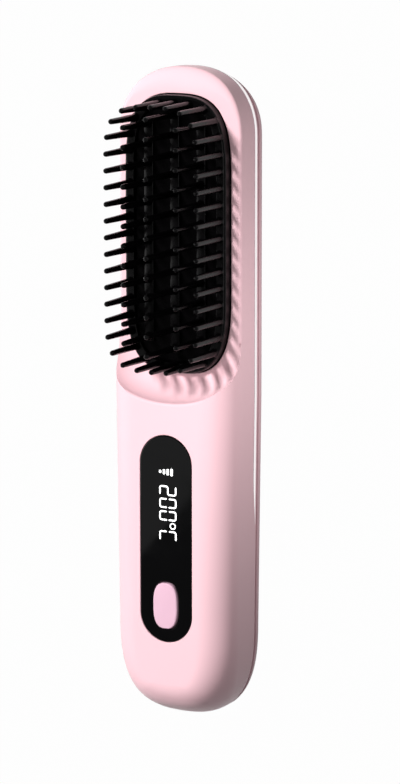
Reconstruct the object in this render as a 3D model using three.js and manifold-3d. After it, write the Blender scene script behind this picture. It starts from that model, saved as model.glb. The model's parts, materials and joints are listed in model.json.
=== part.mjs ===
// Rechargeable hair straightening brush, lying on its back.
// Millimetres. X runs across, +Y towards the brush head, +Z out of the front face.
// The origin is the middle of the footprint, on the surface that the brush lies on.
import * as THREE from "three";
import { mergeVertices } from "three/addons/utils/BufferGeometryUtils.js";
import Module from "manifold-3d";

const wasm = await Module();
wasm.setup();

// Body
const LENGTH = 190;
const WIDTH = 40;
const FOOT_WIDTH = 38.8;
const DEPTH = 26;
const END_REACH = 20;
const END_POWER = 2.25;
const TAPER_START_Y = 0;
const FRONT_ROUND = 9;
const FRONT_END_ROUND = 12;
const BACK_ROUND = 7.2;
const BACK_END_ROUND = 13;
const WALL = 2;
const SEAM_Z = 7.2;
const SEAM_GAP = 0.3;
const LIP_SET_BACK = 1.1;
const LIP_RISE = 1.4;
const CLEAR = 0.3;
const SEAT = 0.05;

// Brush head: the step down from the handle, and the pad that stands in it
const LEDGE_Z = 17.4;
const LEDGE_EDGE_ROUND = 0.7;
const LEDGE_END_RUN = 7;
const LEDGE_END_DROP = 3;
const LEDGE_END_POWER = 3;
const STEP_FLARE = 3;
const STEP_REACH = 24;
const STEP_POWER = 2.2;
const RAMP_RUN = 7.8;
const PAD_SIDE_MARGIN = 3.6;
const PAD_END_MARGIN = 7.8;
const PAD_LOW_Y = 7.1;
const PAD_END_REACH = 24;
const PAD_POWER = 3;
const PAD_RISE = 2.9;
const PAD_STEP_GAP = 1;
const PAD_EDGE_ROUND = 0.6;
const RING_WIDTH = 3;
const FLANGE_WIDTH = 1.4;
const FLANGE_DEPTH = 1.6;

// Teeth
const RIM_TOOTH_LENGTH = 14.5;
const RIM_TOOTH_PITCH = 4.77;
const RIM_TOOTH_INSET = 1.85;
const RIM_END_INSET = 2.4;
const RIM_END_REACH = 15.5;
const RIM_POWER = 3.2;
const TOOTH_ROOT_RADIUS = 1.05;
const TOOTH_TIP_RADIUS = 0.8;
const TOOTH_SINK = 0.4;
const TOOTH_SIDES = 7;
const HOT_TOOTH_PITCH = 5.6;
const HOT_END_MARGIN = 6.2;
const HOT_SHIFT = 0.9;
const HOT_COLUMN_SHARE = 0.518;
const HOT_MIDDLE_LENGTH = 17.35;
const HOT_SIDE_LENGTH = 15.45;
const HOT_ROOT_RADIUS = 1.1;
const HOT_BAR_WIDTH = 3;
const HOT_BAR_DEPTH = 0.8;

// Heating stack, from the plate down to the rear shell
const PLATE_DEPTH = 2.4;
const PLATE_SET_DOWN = 0.9;
const MICA_SIDE_MARGIN = 5.4;
const MICA_END_MARGIN = 11;
const MICA_DEPTH = 0.5;
const ELEMENT_SIDE_MARGIN = 3.5;
const ELEMENT_END_MARGIN = 2;
const ELEMENT_DEPTH = 1.2;
const BRACKET_DEPTH = 1.8;
const PLATE_SCREW_END_MARGIN = 6.5;
const RING_SCREW_SHARE = 0.3;
const BRACKET_POST_SHARE = 0.34;
const SENSOR_RADIUS = 0.55;
const SENSOR_LENGTH = 4;
const FUSE_RADIUS = 1;
const FUSE_LENGTH = 9;

// Display window and button
const WINDOW_WIDTH = 17.3;
const WINDOW_FOOT_MARGIN = 23.25;
const WINDOW_STEP_MARGIN = 17.15;
const WINDOW_DEPTH = 1.5;
const WINDOW_LEDGE = 1.5;
const WINDOW_LEDGE_DEPTH = 1.5;
const WINDOW_CLEAR = 0.15;
const BUTTON_WIDTH = 8;
const BUTTON_LENGTH = 13.9;
const BUTTON_FOOT_MARGIN = 11.15;
const BUTTON_POWER = 2.5;
const BUTTON_PROUD = 0.5;
const BUTTON_CLEAR = 0.25;
const BUTTON_FLANGE = 1.1;
const BUTTON_FLANGE_DEPTH = 0.9;
const BUTTON_TRAVEL = 0.4;

// Electronics
const BOARD_SIDE_MARGIN = 6.5;
const BOARD_OVERHANG = 2.15;
const BOARD_DEPTH = 1;
const BOARD_BELOW_WINDOW = 4.3;
const SCREEN_WIDTH = 12.5;
const SCREEN_DEPTH = 3.6;
const SCREEN_END_MARGIN = 7;
const SWITCH_WIDTH = 6;
const SWITCH_DEPTH = 2.4;
const STEM_RADIUS = 1.6;
const STEM_ENTRY = 0.5;
const CELL_SIDE_MARGIN = 4.5;
const CELL_FOOT_MARGIN = 28;
const CELL_STEP_MARGIN = 18;
const CELL_DEPTH = 9.5;
const CELL_CORNER = 2.4;
const CELL_PAD_INSET = 4;
const CELL_PAD_DEPTH = 1;
const PORT_SIZE = { x: 8.9, y: 7.4, z: 3.2 };
const PORT_WALL = 0.35;
const PORT_CORNER_SHARE = 0.49;
const PORT_SET_BACK = 1.2;
const PORT_DROP = 2.4;
const PORT_TONGUE = { x: 6.7, y: 5, z: 0.7 };
const PORT_OVERHANG = 4.2;
const PORT_BOARD_SIZE = { x: 15, y: 10, z: 1 };
const PORT_POST_X = 5.2;
const LEAD_RADIUS = 0.8;
const LEAD_BEND = 2;
const LEAD_LOOP = 3.4;
const HEATER_LEAD_X = 4;
const BATTERY_LEAD_X = 8;

// Fixings
const BOSS_RADIUS = 2.7;
const PILLAR_RADIUS = 3.6;
const SHELL_SCREW_SIDE_MARGIN = 8.5;
const SHELL_SCREW_FOOT_MARGIN = 17.5;
const SHELL_SCREW_STEP_MARGIN = 10.5;
const SHELL_SCREW_GRIP = 7;
const SHELL_SCREW_RADIUS = 0.9;
const SHELL_HEAD_RADIUS = 2;
const SHELL_HEAD_DEPTH = 1.4;
const COUNTERBORE_DEPTH = 4;
const SMALL_SCREW_LENGTH = 3.4;
const SMALL_SCREW_RADIUS = 0.6;
const SMALL_HEAD_RADIUS = 1.3;
const SMALL_HEAD_DEPTH = 0.8;
const BOARD_POST_RADIUS = 1.9;
const PLATE_COVER = 0.6;
const LEAST_ROUND = 0.2;

// How finely curves are drawn
const END_STEPS = 16;
const ROUND_STEPS = 4;
const INNER_STEPS = 2;
const DISC_STEPS = 12;
const RAMP_STEPS = 6;
const CORNER_STEPS = 5;
const LEAD_STEPS = 10;
const LEAD_CORNER_STEPS = 3;

// How far a cutting form passes the surface that it cuts
const BEYOND = 5;
const OVERCUT = 1;

// Points closer than this are one point
const WELD = 1e-5;

// Places that follow from the sizes above
const HALF_LENGTH = LENGTH / 2;
const PAD_WIDTH = WIDTH - 2 * PAD_SIDE_MARGIN;
const PAD_HIGH_Y = HALF_LENGTH - PAD_END_MARGIN;
const PAD_LENGTH = PAD_HIGH_Y - PAD_LOW_Y;
const STEP_HALF_WIDTH = WIDTH / 2 + STEP_FLARE;
const PAD_TOP_Z = LEDGE_Z + PAD_RISE;
const HEAD_CEILING_Z = LEDGE_Z - WALL;
const FLANGE_TOP_Z = HEAD_CEILING_Z - CLEAR;
const FLANGE_LOW_Z = FLANGE_TOP_Z - FLANGE_DEPTH;
const PAD_MIDDLE_Y = (PAD_LOW_Y + PAD_HIGH_Y) / 2;
const PLATE_TOP_Z = PAD_TOP_Z - PLATE_SET_DOWN;
const PLATE_LOW_Z = PLATE_TOP_Z - PLATE_DEPTH;
const HOT_COLUMN_X = HOT_COLUMN_SHARE * PAD_WIDTH / 2;
const HOT_MIDDLE_Y = PAD_MIDDLE_Y + HOT_SHIFT;
const HOT_TOOTH_COUNT = 1 + Math.floor((PAD_LENGTH - 2 * HOT_END_MARGIN) / HOT_TOOTH_PITCH);
const MICA_SIZE = {
  x: PAD_WIDTH - 2 * MICA_SIDE_MARGIN,
  y: PAD_LENGTH - 2 * MICA_END_MARGIN,
  z: MICA_DEPTH,
};
const ELEMENT_SIZE = {
  x: MICA_SIZE.x - 2 * ELEMENT_SIDE_MARGIN,
  y: MICA_SIZE.y - 2 * ELEMENT_END_MARGIN,
  z: ELEMENT_DEPTH,
};
const ELEMENT_LOW_Z = PLATE_LOW_Z - SEAT - ELEMENT_SIZE.z;
const MICA_LOW_Z = ELEMENT_LOW_Z - SEAT - MICA_SIZE.z;
const BRACKET_TOP_Z = FLANGE_LOW_Z - SEAT;
const BRACKET_LOW_Z = BRACKET_TOP_Z - BRACKET_DEPTH;
const WINDOW_LOW_Z = DEPTH - WINDOW_DEPTH;
const WINDOW_LOW_Y = -HALF_LENGTH + WINDOW_FOOT_MARGIN;
const WINDOW_HIGH_Y = PAD_LOW_Y - WINDOW_STEP_MARGIN;
const WINDOW_Y = (WINDOW_LOW_Y + WINDOW_HIGH_Y) / 2;
const BUTTON_Y = WINDOW_LOW_Y + BUTTON_FOOT_MARGIN;
const BOARD_SIZE = {
  x: WIDTH - 2 * BOARD_SIDE_MARGIN,
  y: WINDOW_HIGH_Y - WINDOW_LOW_Y + 2 * BOARD_OVERHANG,
  z: BOARD_DEPTH,
};
const BOARD_TOP_Z = WINDOW_LOW_Z - BOARD_BELOW_WINDOW;
const BOARD_LOW_Z = BOARD_TOP_Z - BOARD_SIZE.z;
const SCREEN_LOW_Y = BUTTON_Y + BUTTON_LENGTH / 2 + SCREEN_END_MARGIN;
const SCREEN_HIGH_Y = WINDOW_HIGH_Y - SCREEN_END_MARGIN;
const SCREEN_SIZE = { x: SCREEN_WIDTH, y: SCREEN_HIGH_Y - SCREEN_LOW_Y, z: SCREEN_DEPTH };
const CELL_LOW_Y = -HALF_LENGTH + CELL_FOOT_MARGIN;
const CELL_HIGH_Y = PAD_LOW_Y - CELL_STEP_MARGIN;
const CELL_Y = (CELL_LOW_Y + CELL_HIGH_Y) / 2;
const CELL_SIZE = { x: WIDTH - 2 * CELL_SIDE_MARGIN, y: CELL_HIGH_Y - CELL_LOW_Y, z: CELL_DEPTH };
const CELL_PAD_SIZE = {
  x: CELL_SIZE.x - 2 * CELL_PAD_INSET,
  y: CELL_SIZE.y - 2 * CELL_PAD_INSET,
  z: CELL_PAD_DEPTH,
};
const CELL_LOW_Z = WALL + SEAT + CELL_PAD_SIZE.z + SEAT;
const PORT_Z = DEPTH / 2 - PORT_DROP;
const PORT_LOW_Z = PORT_Z - PORT_SIZE.z / 2;
const PORT_MOUTH_Y = -HALF_LENGTH + PORT_SET_BACK;
const PORT_BOARD_LOW_Z = PORT_LOW_Z - SEAT - PORT_BOARD_SIZE.z;
const PORT_BOARD_Y = PORT_MOUTH_Y + PORT_OVERHANG + PORT_BOARD_SIZE.y / 2;
const BUTTON_FLANGE_TOP_Z = WINDOW_LOW_Z - CLEAR;
const BUTTON_LOW_Z = BUTTON_FLANGE_TOP_Z - BUTTON_FLANGE_DEPTH;
const SWITCH_TOP_Z = BOARD_TOP_Z + SEAT + SWITCH_DEPTH;
const STEM_LOW_Z = SWITCH_TOP_Z - STEM_ENTRY;
const PILLAR_TOP_Z = SEAM_Z + LIP_RISE;
const SHELL_SCREW_X = WIDTH / 2 - SHELL_SCREW_SIDE_MARGIN;
const SHELL_SCREW_SEAT_Z = COUNTERBORE_DEPTH + SHELL_HEAD_DEPTH;

function toSolid(geometry) {
  const bare = geometry.clone();
  bare.deleteAttribute("normal");
  bare.deleteAttribute("uv");
  const merged = mergeVertices(bare, WELD);
  return new wasm.Manifold(new wasm.Mesh({
    numProp: 3,
    vertProperties: new Float32Array(merged.attributes.position.array),
    triVerts: new Uint32Array(merged.index.array),
  }));
}

function toGeometry(solid) {
  const mesh = solid.getMesh();
  const geometry = new THREE.BufferGeometry();
  geometry.setAttribute("position", new THREE.BufferAttribute(mesh.vertProperties.slice(), 3));
  geometry.setIndex(new THREE.BufferAttribute(mesh.triVerts.slice(), 1));
  geometry.computeVertexNormals();
  return geometry;
}

// A closed skin over rings of points, lowest ring first, each ring counter-clockwise from above
function skin(rings) {
  const count = rings[0].length;
  const positions = rings.flat().flatMap((p) => [p.x, p.y, p.z]);
  const index = [];
  for (let r = 0; r + 1 < rings.length; r += 1) {
    for (let i = 0; i < count; i += 1) {
      const a = r * count + i;
      const b = r * count + (i + 1) % count;
      index.push(a, b, b + count);
      index.push(a, b + count, a + count);
    }
  }
  const lowMiddle = positions.length / 3;
  for (const ring of [rings[0], rings[rings.length - 1]]) {
    const middle = ring.reduce((sum, p) => sum.add(p), new THREE.Vector3()).divideScalar(count);
    positions.push(middle.x, middle.y, middle.z);
  }
  const top = (rings.length - 1) * count;
  for (let i = 0; i < count; i += 1) {
    const next = (i + 1) % count;
    index.push(lowMiddle, next, i);
    index.push(lowMiddle + 1, top + i, top + next);
  }
  const geometry = new THREE.BufferGeometry();
  geometry.setAttribute("position", new THREE.Float32BufferAttribute(positions, 3));
  geometry.setIndex(index);
  return toSolid(geometry);
}

// Half of a superellipse as outline points with their outward normals, counter-clockwise
function endPoints(halfWidth, reach, power, middleY, side) {
  const points = [];
  for (let i = 0; i <= END_STEPS; i += 1) {
    const turn = (Math.PI * i) / END_STEPS;
    const c = Math.cos(turn);
    const s = Math.sin(turn);
    const x = side * halfWidth * Math.sign(c) * Math.abs(c) ** (2 / power);
    const y = side * reach * Math.abs(s) ** (2 / power);
    const normal = new THREE.Vector2(
      side * Math.sign(c) * Math.abs(c) ** (2 - 2 / power) / halfWidth,
      side * Math.abs(s) ** (2 - 2 / power) / reach,
    ).normalize();
    points.push({ x, y: middleY + y, normal });
  }
  return points;
}

// The outline of a bar with rounded ends, seen from above
function barOutline({ halfWidth, lowHalfWidth = halfWidth, lowY, highY, reach, power, waistY = null }) {
  const high = endPoints(halfWidth, reach, power, highY - reach, 1);
  const low = endPoints(lowHalfWidth, reach, power, lowY + reach, -1);
  if (waistY === null) return [...high, ...low];
  const waist = (side) => ({ x: side * halfWidth, y: waistY, normal: new THREE.Vector2(side, 0) });
  return [...high, waist(-1), ...low, waist(1)];
}

function ringAt(outline, inset, z) {
  return outline.map((p, i) => new THREE.Vector3(
    p.x - p.normal.x * (typeof inset === "function" ? inset(p, i) : inset),
    p.y - p.normal.y * (typeof inset === "function" ? inset(p, i) : inset),
    typeof z === "function" ? z(p, i) : z,
  ));
}

function prism(outline, inset, lowZ, highZ) {
  return skin([ringAt(outline, inset, lowZ), ringAt(outline, inset, highZ)]);
}

// A bar whose upper edge is rounded, and its lower edge too where that has a radius;
// the radii may vary round the outline, and the upper edge may drop by more or less than it runs in
function roundedBar(
  outline,
  inset,
  lowZ,
  highZ,
  highRound,
  lowRound = null,
  steps = ROUND_STEPS,
  highDrop = highRound,
) {
  const rings = [];
  if (lowRound === null) rings.push(ringAt(outline, inset, lowZ));
  for (let i = 0; lowRound !== null && i <= steps; i += 1) {
    const turn = (Math.PI / 2) * (i / steps);
    rings.push(ringAt(
      outline,
      (p) => inset + lowRound(p) * (1 - Math.sin(turn)),
      (p) => lowZ + lowRound(p) * (1 - Math.cos(turn)),
    ));
  }
  for (let i = 0; i <= steps; i += 1) {
    const turn = (Math.PI / 2) * (i / steps);
    rings.push(ringAt(
      outline,
      (p) => inset + highRound(p) * (1 - Math.cos(turn)),
      (p) => highZ - highDrop(p) * (1 - Math.sin(turn)),
    ));
  }
  return skin(rings);
}

function box(size, x, y, lowZ) {
  const geometry = new THREE.BoxGeometry(size.x, size.y, size.z);
  geometry.translate(x, y, lowZ + size.z / 2);
  return toSolid(geometry);
}

// A turned piece on an upright axis; the profile holds radius and height pairs from the axis round to it
function turned(profile, x, y, z, sides = DISC_STEPS) {
  const geometry = new THREE.LatheGeometry(profile.map(([r, h]) => new THREE.Vector2(r, h)), sides);
  geometry.rotateX(Math.PI / 2);
  geometry.translate(x, y, z);
  return toSolid(geometry);
}

function disc(radius, x, y, lowZ, highZ) {
  return turned([[0, 0], [radius, 0], [radius, highZ - lowZ], [0, highZ - lowZ]], x, y, lowZ);
}

function blend(side, end, share, power = 2) {
  return side + (end - side) * share ** power;
}

const root = new THREE.Group();
root.name = "hair_straightening_brush";

function add(name, solid, look) {
  const mesh = new THREE.Mesh(toGeometry(solid), new THREE.MeshStandardMaterial(look));
  mesh.name = name;
  root.add(mesh);
  return mesh;
}

const LOOKS = {
  pinkGloss: { color: 0xf6d3da, roughness: 0.22, metalness: 0 },
  pinkButton: { color: 0xf0c3cf, roughness: 0.3, metalness: 0 },
  blackGloss: { color: 0x0a0a0c, roughness: 0.06, metalness: 0 },
  blackNylon: { color: 0x0b0a0c, roughness: 0.35, metalness: 0 },
  blackCoat: { color: 0x121114, roughness: 0.3, metalness: 0.4 },
  board: { color: 0x1d5b38, roughness: 0.5, metalness: 0 },
  white: { color: 0xe8e8e6, roughness: 0.5, metalness: 0 },
  ceramic: { color: 0xefece4, roughness: 0.6, metalness: 0 },
  mica: { color: 0xb59a68, roughness: 0.55, metalness: 0 },
  beige: { color: 0xcfc5ad, roughness: 0.6, metalness: 0 },
  steel: { color: 0xb9bbbd, roughness: 0.3, metalness: 1 },
  foil: { color: 0x9fa3a8, roughness: 0.35, metalness: 0.8 },
  foam: { color: 0x3a3a3d, roughness: 0.9, metalness: 0 },
  lead: { color: 0xb02a2a, roughness: 0.45, metalness: 0 },
};

// Outlines
const bodyOutline = barOutline({
  halfWidth: WIDTH / 2,
  lowHalfWidth: FOOT_WIDTH / 2,
  lowY: -HALF_LENGTH,
  highY: HALF_LENGTH,
  reach: END_REACH,
  power: END_POWER,
  waistY: TAPER_START_Y,
});
const padOutline = barOutline({
  halfWidth: PAD_WIDTH / 2,
  lowY: PAD_LOW_Y,
  highY: PAD_HIGH_Y,
  reach: PAD_END_REACH,
  power: PAD_POWER,
});
const stepOutline = barOutline({
  halfWidth: STEP_HALF_WIDTH,
  lowY: PAD_LOW_Y - PAD_STEP_GAP,
  highY: HALF_LENGTH + STEP_REACH,
  reach: STEP_REACH,
  power: STEP_POWER,
});
const windowOutline = barOutline({
  halfWidth: WINDOW_WIDTH / 2,
  lowY: WINDOW_LOW_Y,
  highY: WINDOW_HIGH_Y,
  reach: WINDOW_WIDTH / 2,
  power: 2,
});
const buttonOutline = barOutline({
  halfWidth: BUTTON_WIDTH / 2,
  lowY: BUTTON_Y - BUTTON_LENGTH / 2,
  highY: BUTTON_Y + BUTTON_LENGTH / 2,
  reach: BUTTON_LENGTH / 2,
  power: BUTTON_POWER,
});

// Outer envelope of the handle, and the same form set in by a distance
function handleEnvelope(inset, steps) {
  return roundedBar(
    bodyOutline,
    inset,
    inset,
    DEPTH - inset,
    (p) => Math.max(blend(FRONT_ROUND, FRONT_END_ROUND, Math.abs(p.normal.y)) - inset, LEAST_ROUND),
    (p) => Math.max(blend(BACK_ROUND, BACK_END_ROUND, Math.abs(p.normal.y)) - inset, LEAST_ROUND),
    steps,
  );
}

function headEnvelope(inset, steps) {
  const edge = (p, end) => {
    const size = blend(LEDGE_EDGE_ROUND, end, Math.abs(p.normal.y), LEDGE_END_POWER);
    return Math.max(size - inset, LEAST_ROUND);
  };
  return roundedBar(
    bodyOutline,
    inset,
    inset,
    LEDGE_Z - inset,
    (p) => edge(p, LEDGE_END_RUN),
    (p) => Math.max(blend(BACK_ROUND, BACK_END_ROUND, Math.abs(p.normal.y)) - inset, LEAST_ROUND),
    steps,
    (p) => edge(p, LEDGE_END_DROP),
  );
}

// Everything above the ledge round the pad, out to the hollow ramp that climbs to the handle's face
function stepCut(inset) {
  const rise = DEPTH - LEDGE_Z;
  const rings = [ringAt(stepOutline, -inset, LEDGE_Z - inset - LEDGE_END_DROP - OVERCUT)];
  for (let i = 0; i <= RAMP_STEPS; i += 1) {
    const turn = (Math.PI / 2) * (i / RAMP_STEPS);
    rings.push(ringAt(
      stepOutline,
      -inset - RAMP_RUN * Math.sin(turn),
      LEDGE_Z - inset + rise * (1 - Math.cos(turn)),
    ));
  }
  rings.push(ringAt(stepOutline, -inset - RAMP_RUN, DEPTH + BEYOND));
  return skin(rings);
}

function envelope(inset, steps = ROUND_STEPS) {
  return handleEnvelope(inset, steps).subtract(stepCut(inset)).add(headEnvelope(inset, steps));
}

function slab(lowZ, highZ) {
  return box({ x: 2 * WIDTH, y: 2 * LENGTH, z: highZ - lowZ }, 0, 0, lowZ);
}

const outer = envelope(0);
const cavity = envelope(WALL, INNER_STEPS);
const shellScrewYs = [-HALF_LENGTH + SHELL_SCREW_FOOT_MARGIN, PAD_LOW_Y - SHELL_SCREW_STEP_MARGIN];
const shellScrewPlaces = shellScrewYs.flatMap((y) => [[-SHELL_SCREW_X, y], [SHELL_SCREW_X, y]]);
const boardPostPlaces = [-1, 1].flatMap((end) => [-1, 1].map((side) => [
  side * (BOARD_SIZE.x / 2 - BOARD_POST_RADIUS),
  WINDOW_Y + end * (BOARD_SIZE.y / 2 - BOARD_POST_RADIUS),
]));
const plateScrewReach = PAD_LENGTH / 2 - PLATE_SCREW_END_MARGIN;
const plateScrewPlaces = [-1, 1].map((end) => [0, PAD_MIDDLE_Y + end * plateScrewReach]);
const ringScrewPlaces = [-1, 1].flatMap((end) => [-1, 1].map((side) => [
  side * (PAD_WIDTH / 2 - RING_WIDTH / 2),
  PAD_MIDDLE_Y + end * RING_SCREW_SHARE * PAD_LENGTH,
]));

function portHole(grow, depth) {
  const size = { x: PORT_SIZE.x + 2 * grow, y: depth, z: PORT_SIZE.z + 2 * grow };
  return box(size, 0, -HALF_LENGTH + depth / 2 - BEYOND, PORT_LOW_Z - grow);
}

function frontShell() {
  const splitZ = SEAM_Z + SEAM_GAP / 2;
  const top = DEPTH + BEYOND;
  let shell = outer.intersect(slab(splitZ, top)).subtract(cavity);
  const rebate = envelope(LIP_SET_BACK - CLEAR).intersect(slab(splitZ - OVERCUT, splitZ + LIP_RISE));
  shell = shell.subtract(rebate);
  for (const [x, y] of shellScrewPlaces) {
    const boss = disc(BOSS_RADIUS, x, y, PILLAR_TOP_Z + SEAT, DEPTH);
    const pilotTop = PILLAR_TOP_Z + SHELL_SCREW_GRIP + OVERCUT;
    const pilot = disc(SHELL_SCREW_RADIUS + SEAT, x, y, 0, pilotTop);
    shell = shell.add(boss.intersect(outer)).subtract(pilot);
  }
  for (const [x, y] of boardPostPlaces) {
    const post = disc(BOARD_POST_RADIUS, x, y, BOARD_TOP_Z + SEAT, DEPTH - WALL / 2);
    const pilotTop = BOARD_TOP_Z + SMALL_SCREW_LENGTH;
    const pilot = disc(SMALL_SCREW_RADIUS + SEAT, x, y, BOARD_TOP_Z - OVERCUT, pilotTop);
    shell = shell.add(post).subtract(pilot);
  }
  shell = shell.subtract(prism(padOutline, -CLEAR, HEAD_CEILING_Z - WALL, top));
  const frameLow = WINDOW_LOW_Z - WINDOW_LEDGE_DEPTH;
  shell = shell.add(prism(windowOutline, -WINDOW_LEDGE, frameLow, WINDOW_LOW_Z));
  shell = shell.subtract(prism(windowOutline, -WINDOW_CLEAR, WINDOW_LOW_Z - SEAT, top));
  shell = shell.subtract(prism(windowOutline, WINDOW_LEDGE, frameLow - OVERCUT, top));
  return shell.subtract(portHole(CLEAR, WALL + 2 * BEYOND));
}

function rearShell() {
  const splitZ = SEAM_Z - SEAM_GAP / 2;
  let shell = outer.intersect(slab(-OVERCUT, splitZ)).subtract(cavity);
  const lipBand = slab(splitZ - WALL, splitZ + LIP_RISE);
  shell = shell.add(envelope(LIP_SET_BACK).subtract(cavity).intersect(lipBand));
  for (const [x, y] of shellScrewPlaces) {
    const pillar = disc(PILLAR_RADIUS, x, y, 0, PILLAR_TOP_Z).intersect(outer);
    const bore = disc(SHELL_HEAD_RADIUS + CLEAR, x, y, -OVERCUT, SHELL_SCREW_SEAT_Z);
    const hole = disc(SHELL_SCREW_RADIUS + CLEAR, x, y, 0, PILLAR_TOP_Z + OVERCUT);
    shell = shell.add(pillar).subtract(bore).subtract(hole);
  }
  for (const end of [-1, 1]) {
    const y = PAD_MIDDLE_Y + end * BRACKET_POST_SHARE * PAD_LENGTH;
    const bracketPostTop = BRACKET_LOW_Z - SEAT;
    for (const side of [-1, 1]) {
      const x = side * HOT_COLUMN_X;
      shell = shell.add(disc(BOARD_POST_RADIUS, x, y, WALL / 2, bracketPostTop));
    }
    const portPostTop = PORT_BOARD_LOW_Z - SEAT;
    const portPost = disc(BOARD_POST_RADIUS, end * PORT_POST_X, PORT_BOARD_Y, 0, portPostTop);
    shell = shell.add(portPost.intersect(outer));
    const rib = { x: CELL_SIZE.x, y: WALL / 2, z: CELL_PAD_SIZE.z + CELL_SIZE.z / 2 };
    const ribY = CELL_Y + end * (CELL_SIZE.y / 2 + CLEAR + rib.y / 2);
    shell = shell.add(box({ ...rib, z: rib.z + WALL / 2 }, 0, ribY, WALL / 2));
  }
  return shell;
}

function tooth(length, rootRadius, x, y, rootZ) {
  const crown = TOOTH_TIP_RADIUS;
  const profile = [
    [0, -TOOTH_SINK],
    [rootRadius, -TOOTH_SINK],
    [TOOTH_TIP_RADIUS, length - crown],
    [crown * Math.cos(Math.PI / 4), length - crown + crown * Math.sin(Math.PI / 4)],
    [0, length],
  ];
  return turned(profile, x, y, rootZ, TOOTH_SIDES);
}

// An even count of points at even spacing along a bar's outline, the first at the middle of its high end
function evenly(outline, pitch) {
  const middle = END_STEPS / 2;
  const fromMiddle = [...outline.slice(middle), ...outline.slice(0, middle)];
  const loop = fromMiddle.map((p) => new THREE.Vector3(p.x, p.y, 0));
  loop.push(loop[0].clone());
  const path = new THREE.CurvePath();
  for (let i = 0; i + 1 < loop.length; i += 1) {
    if (loop[i].distanceTo(loop[i + 1]) > WELD) path.add(new THREE.LineCurve3(loop[i], loop[i + 1]));
  }
  const count = 2 * Math.round(path.getLength() / pitch / 2);
  return Array.from({ length: count }, (_, i) => path.getPoint(i / count));
}

function bristleFrame() {
  let frame = roundedBar(padOutline, 0, FLANGE_LOW_Z, PAD_TOP_Z, () => PAD_EDGE_ROUND);
  frame = frame.add(prism(padOutline, -FLANGE_WIDTH, FLANGE_LOW_Z, FLANGE_TOP_Z));
  frame = frame.subtract(prism(padOutline, RING_WIDTH, FLANGE_LOW_Z - OVERCUT, PAD_TOP_Z + OVERCUT));
  const pilotTop = BRACKET_LOW_Z + SMALL_HEAD_DEPTH + SMALL_SCREW_LENGTH + SEAT;
  for (const [x, y] of ringScrewPlaces) {
    frame = frame.subtract(disc(SMALL_SCREW_RADIUS + SEAT, x, y, FLANGE_LOW_Z - OVERCUT, pilotTop));
  }
  const rimLine = barOutline({
    halfWidth: PAD_WIDTH / 2 - RIM_TOOTH_INSET,
    lowY: PAD_LOW_Y + RIM_END_INSET,
    highY: PAD_HIGH_Y - RIM_END_INSET,
    reach: RIM_END_REACH,
    power: RIM_POWER,
  });
  for (const place of evenly(rimLine, RIM_TOOTH_PITCH)) {
    frame = frame.add(tooth(RIM_TOOTH_LENGTH, TOOTH_ROOT_RADIUS, place.x, place.y, PAD_TOP_Z));
  }
  return frame;
}

function heaterPlate() {
  let plate = prism(padOutline, RING_WIDTH + CLEAR, PLATE_LOW_Z, PLATE_TOP_Z);
  const pilotTop = PLATE_TOP_Z - PLATE_COVER;
  for (const [x, y] of plateScrewPlaces) {
    plate = plate.subtract(disc(SMALL_SCREW_RADIUS + SEAT, x, y, PLATE_LOW_Z - OVERCUT, pilotTop));
  }
  return plate;
}

// One bar of heated teeth, cast as a comb
function heatedTeeth(x, count, length) {
  const reach = (count - 1) * HOT_TOOTH_PITCH;
  const barSize = { x: HOT_BAR_WIDTH, y: reach + HOT_BAR_WIDTH, z: HOT_BAR_DEPTH };
  let bar = box(barSize, x, HOT_MIDDLE_Y, PLATE_TOP_Z + SEAT);
  for (let i = 0; i < count; i += 1) {
    const y = HOT_MIDDLE_Y - reach / 2 + i * HOT_TOOTH_PITCH;
    bar = bar.add(tooth(length, HOT_ROOT_RADIUS, x, y, PLATE_TOP_Z + SEAT + HOT_BAR_DEPTH));
  }
  return bar;
}

// Tray of heat-proof plastic that carries the mica and holds the plate down in the ring
function heaterBracket() {
  const top = PLATE_LOW_Z - SEAT;
  let tray = prism(padOutline, -FLANGE_WIDTH, BRACKET_LOW_Z, BRACKET_TOP_Z);
  tray = tray.add(prism(padOutline, RING_WIDTH + CLEAR, BRACKET_TOP_Z - SEAT, top));
  const pocket = {
    x: MICA_SIZE.x + 2 * CLEAR,
    y: MICA_SIZE.y + 2 * CLEAR,
    z: top - MICA_LOW_Z + OVERCUT,
  };
  tray = tray.subtract(box(pocket, 0, PAD_MIDDLE_Y, MICA_LOW_Z - SEAT));
  for (const [x, y] of [...plateScrewPlaces, ...ringScrewPlaces]) {
    const low = BRACKET_LOW_Z - OVERCUT;
    const hole = disc(SMALL_SCREW_RADIUS + CLEAR, x, y, low, top + OVERCUT);
    const bore = disc(SMALL_HEAD_RADIUS + CLEAR, x, y, low, BRACKET_LOW_Z + SMALL_HEAD_DEPTH);
    tray = tray.subtract(hole).subtract(bore);
  }
  return tray;
}

function displayWindow() {
  const glass = prism(windowOutline, 0, WINDOW_LOW_Z, DEPTH);
  return glass.subtract(prism(buttonOutline, -BUTTON_CLEAR, WINDOW_LOW_Z - OVERCUT, DEPTH + OVERCUT));
}

function powerButton() {
  const cap = roundedBar(buttonOutline, 0, BUTTON_LOW_Z, DEPTH + BUTTON_PROUD, () => BUTTON_PROUD);
  return cap.add(prism(buttonOutline, -BUTTON_FLANGE, BUTTON_LOW_Z, BUTTON_FLANGE_TOP_Z));
}

function tactSwitch() {
  const size = { x: SWITCH_WIDTH, y: SWITCH_WIDTH, z: SWITCH_DEPTH };
  const wellLow = STEM_LOW_Z - BUTTON_TRAVEL - CLEAR;
  return box(size, 0, BUTTON_Y, BOARD_TOP_Z + SEAT)
    .subtract(disc(STEM_RADIUS + BUTTON_CLEAR, 0, BUTTON_Y, wellLow, SWITCH_TOP_Z + OVERCUT));
}

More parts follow.
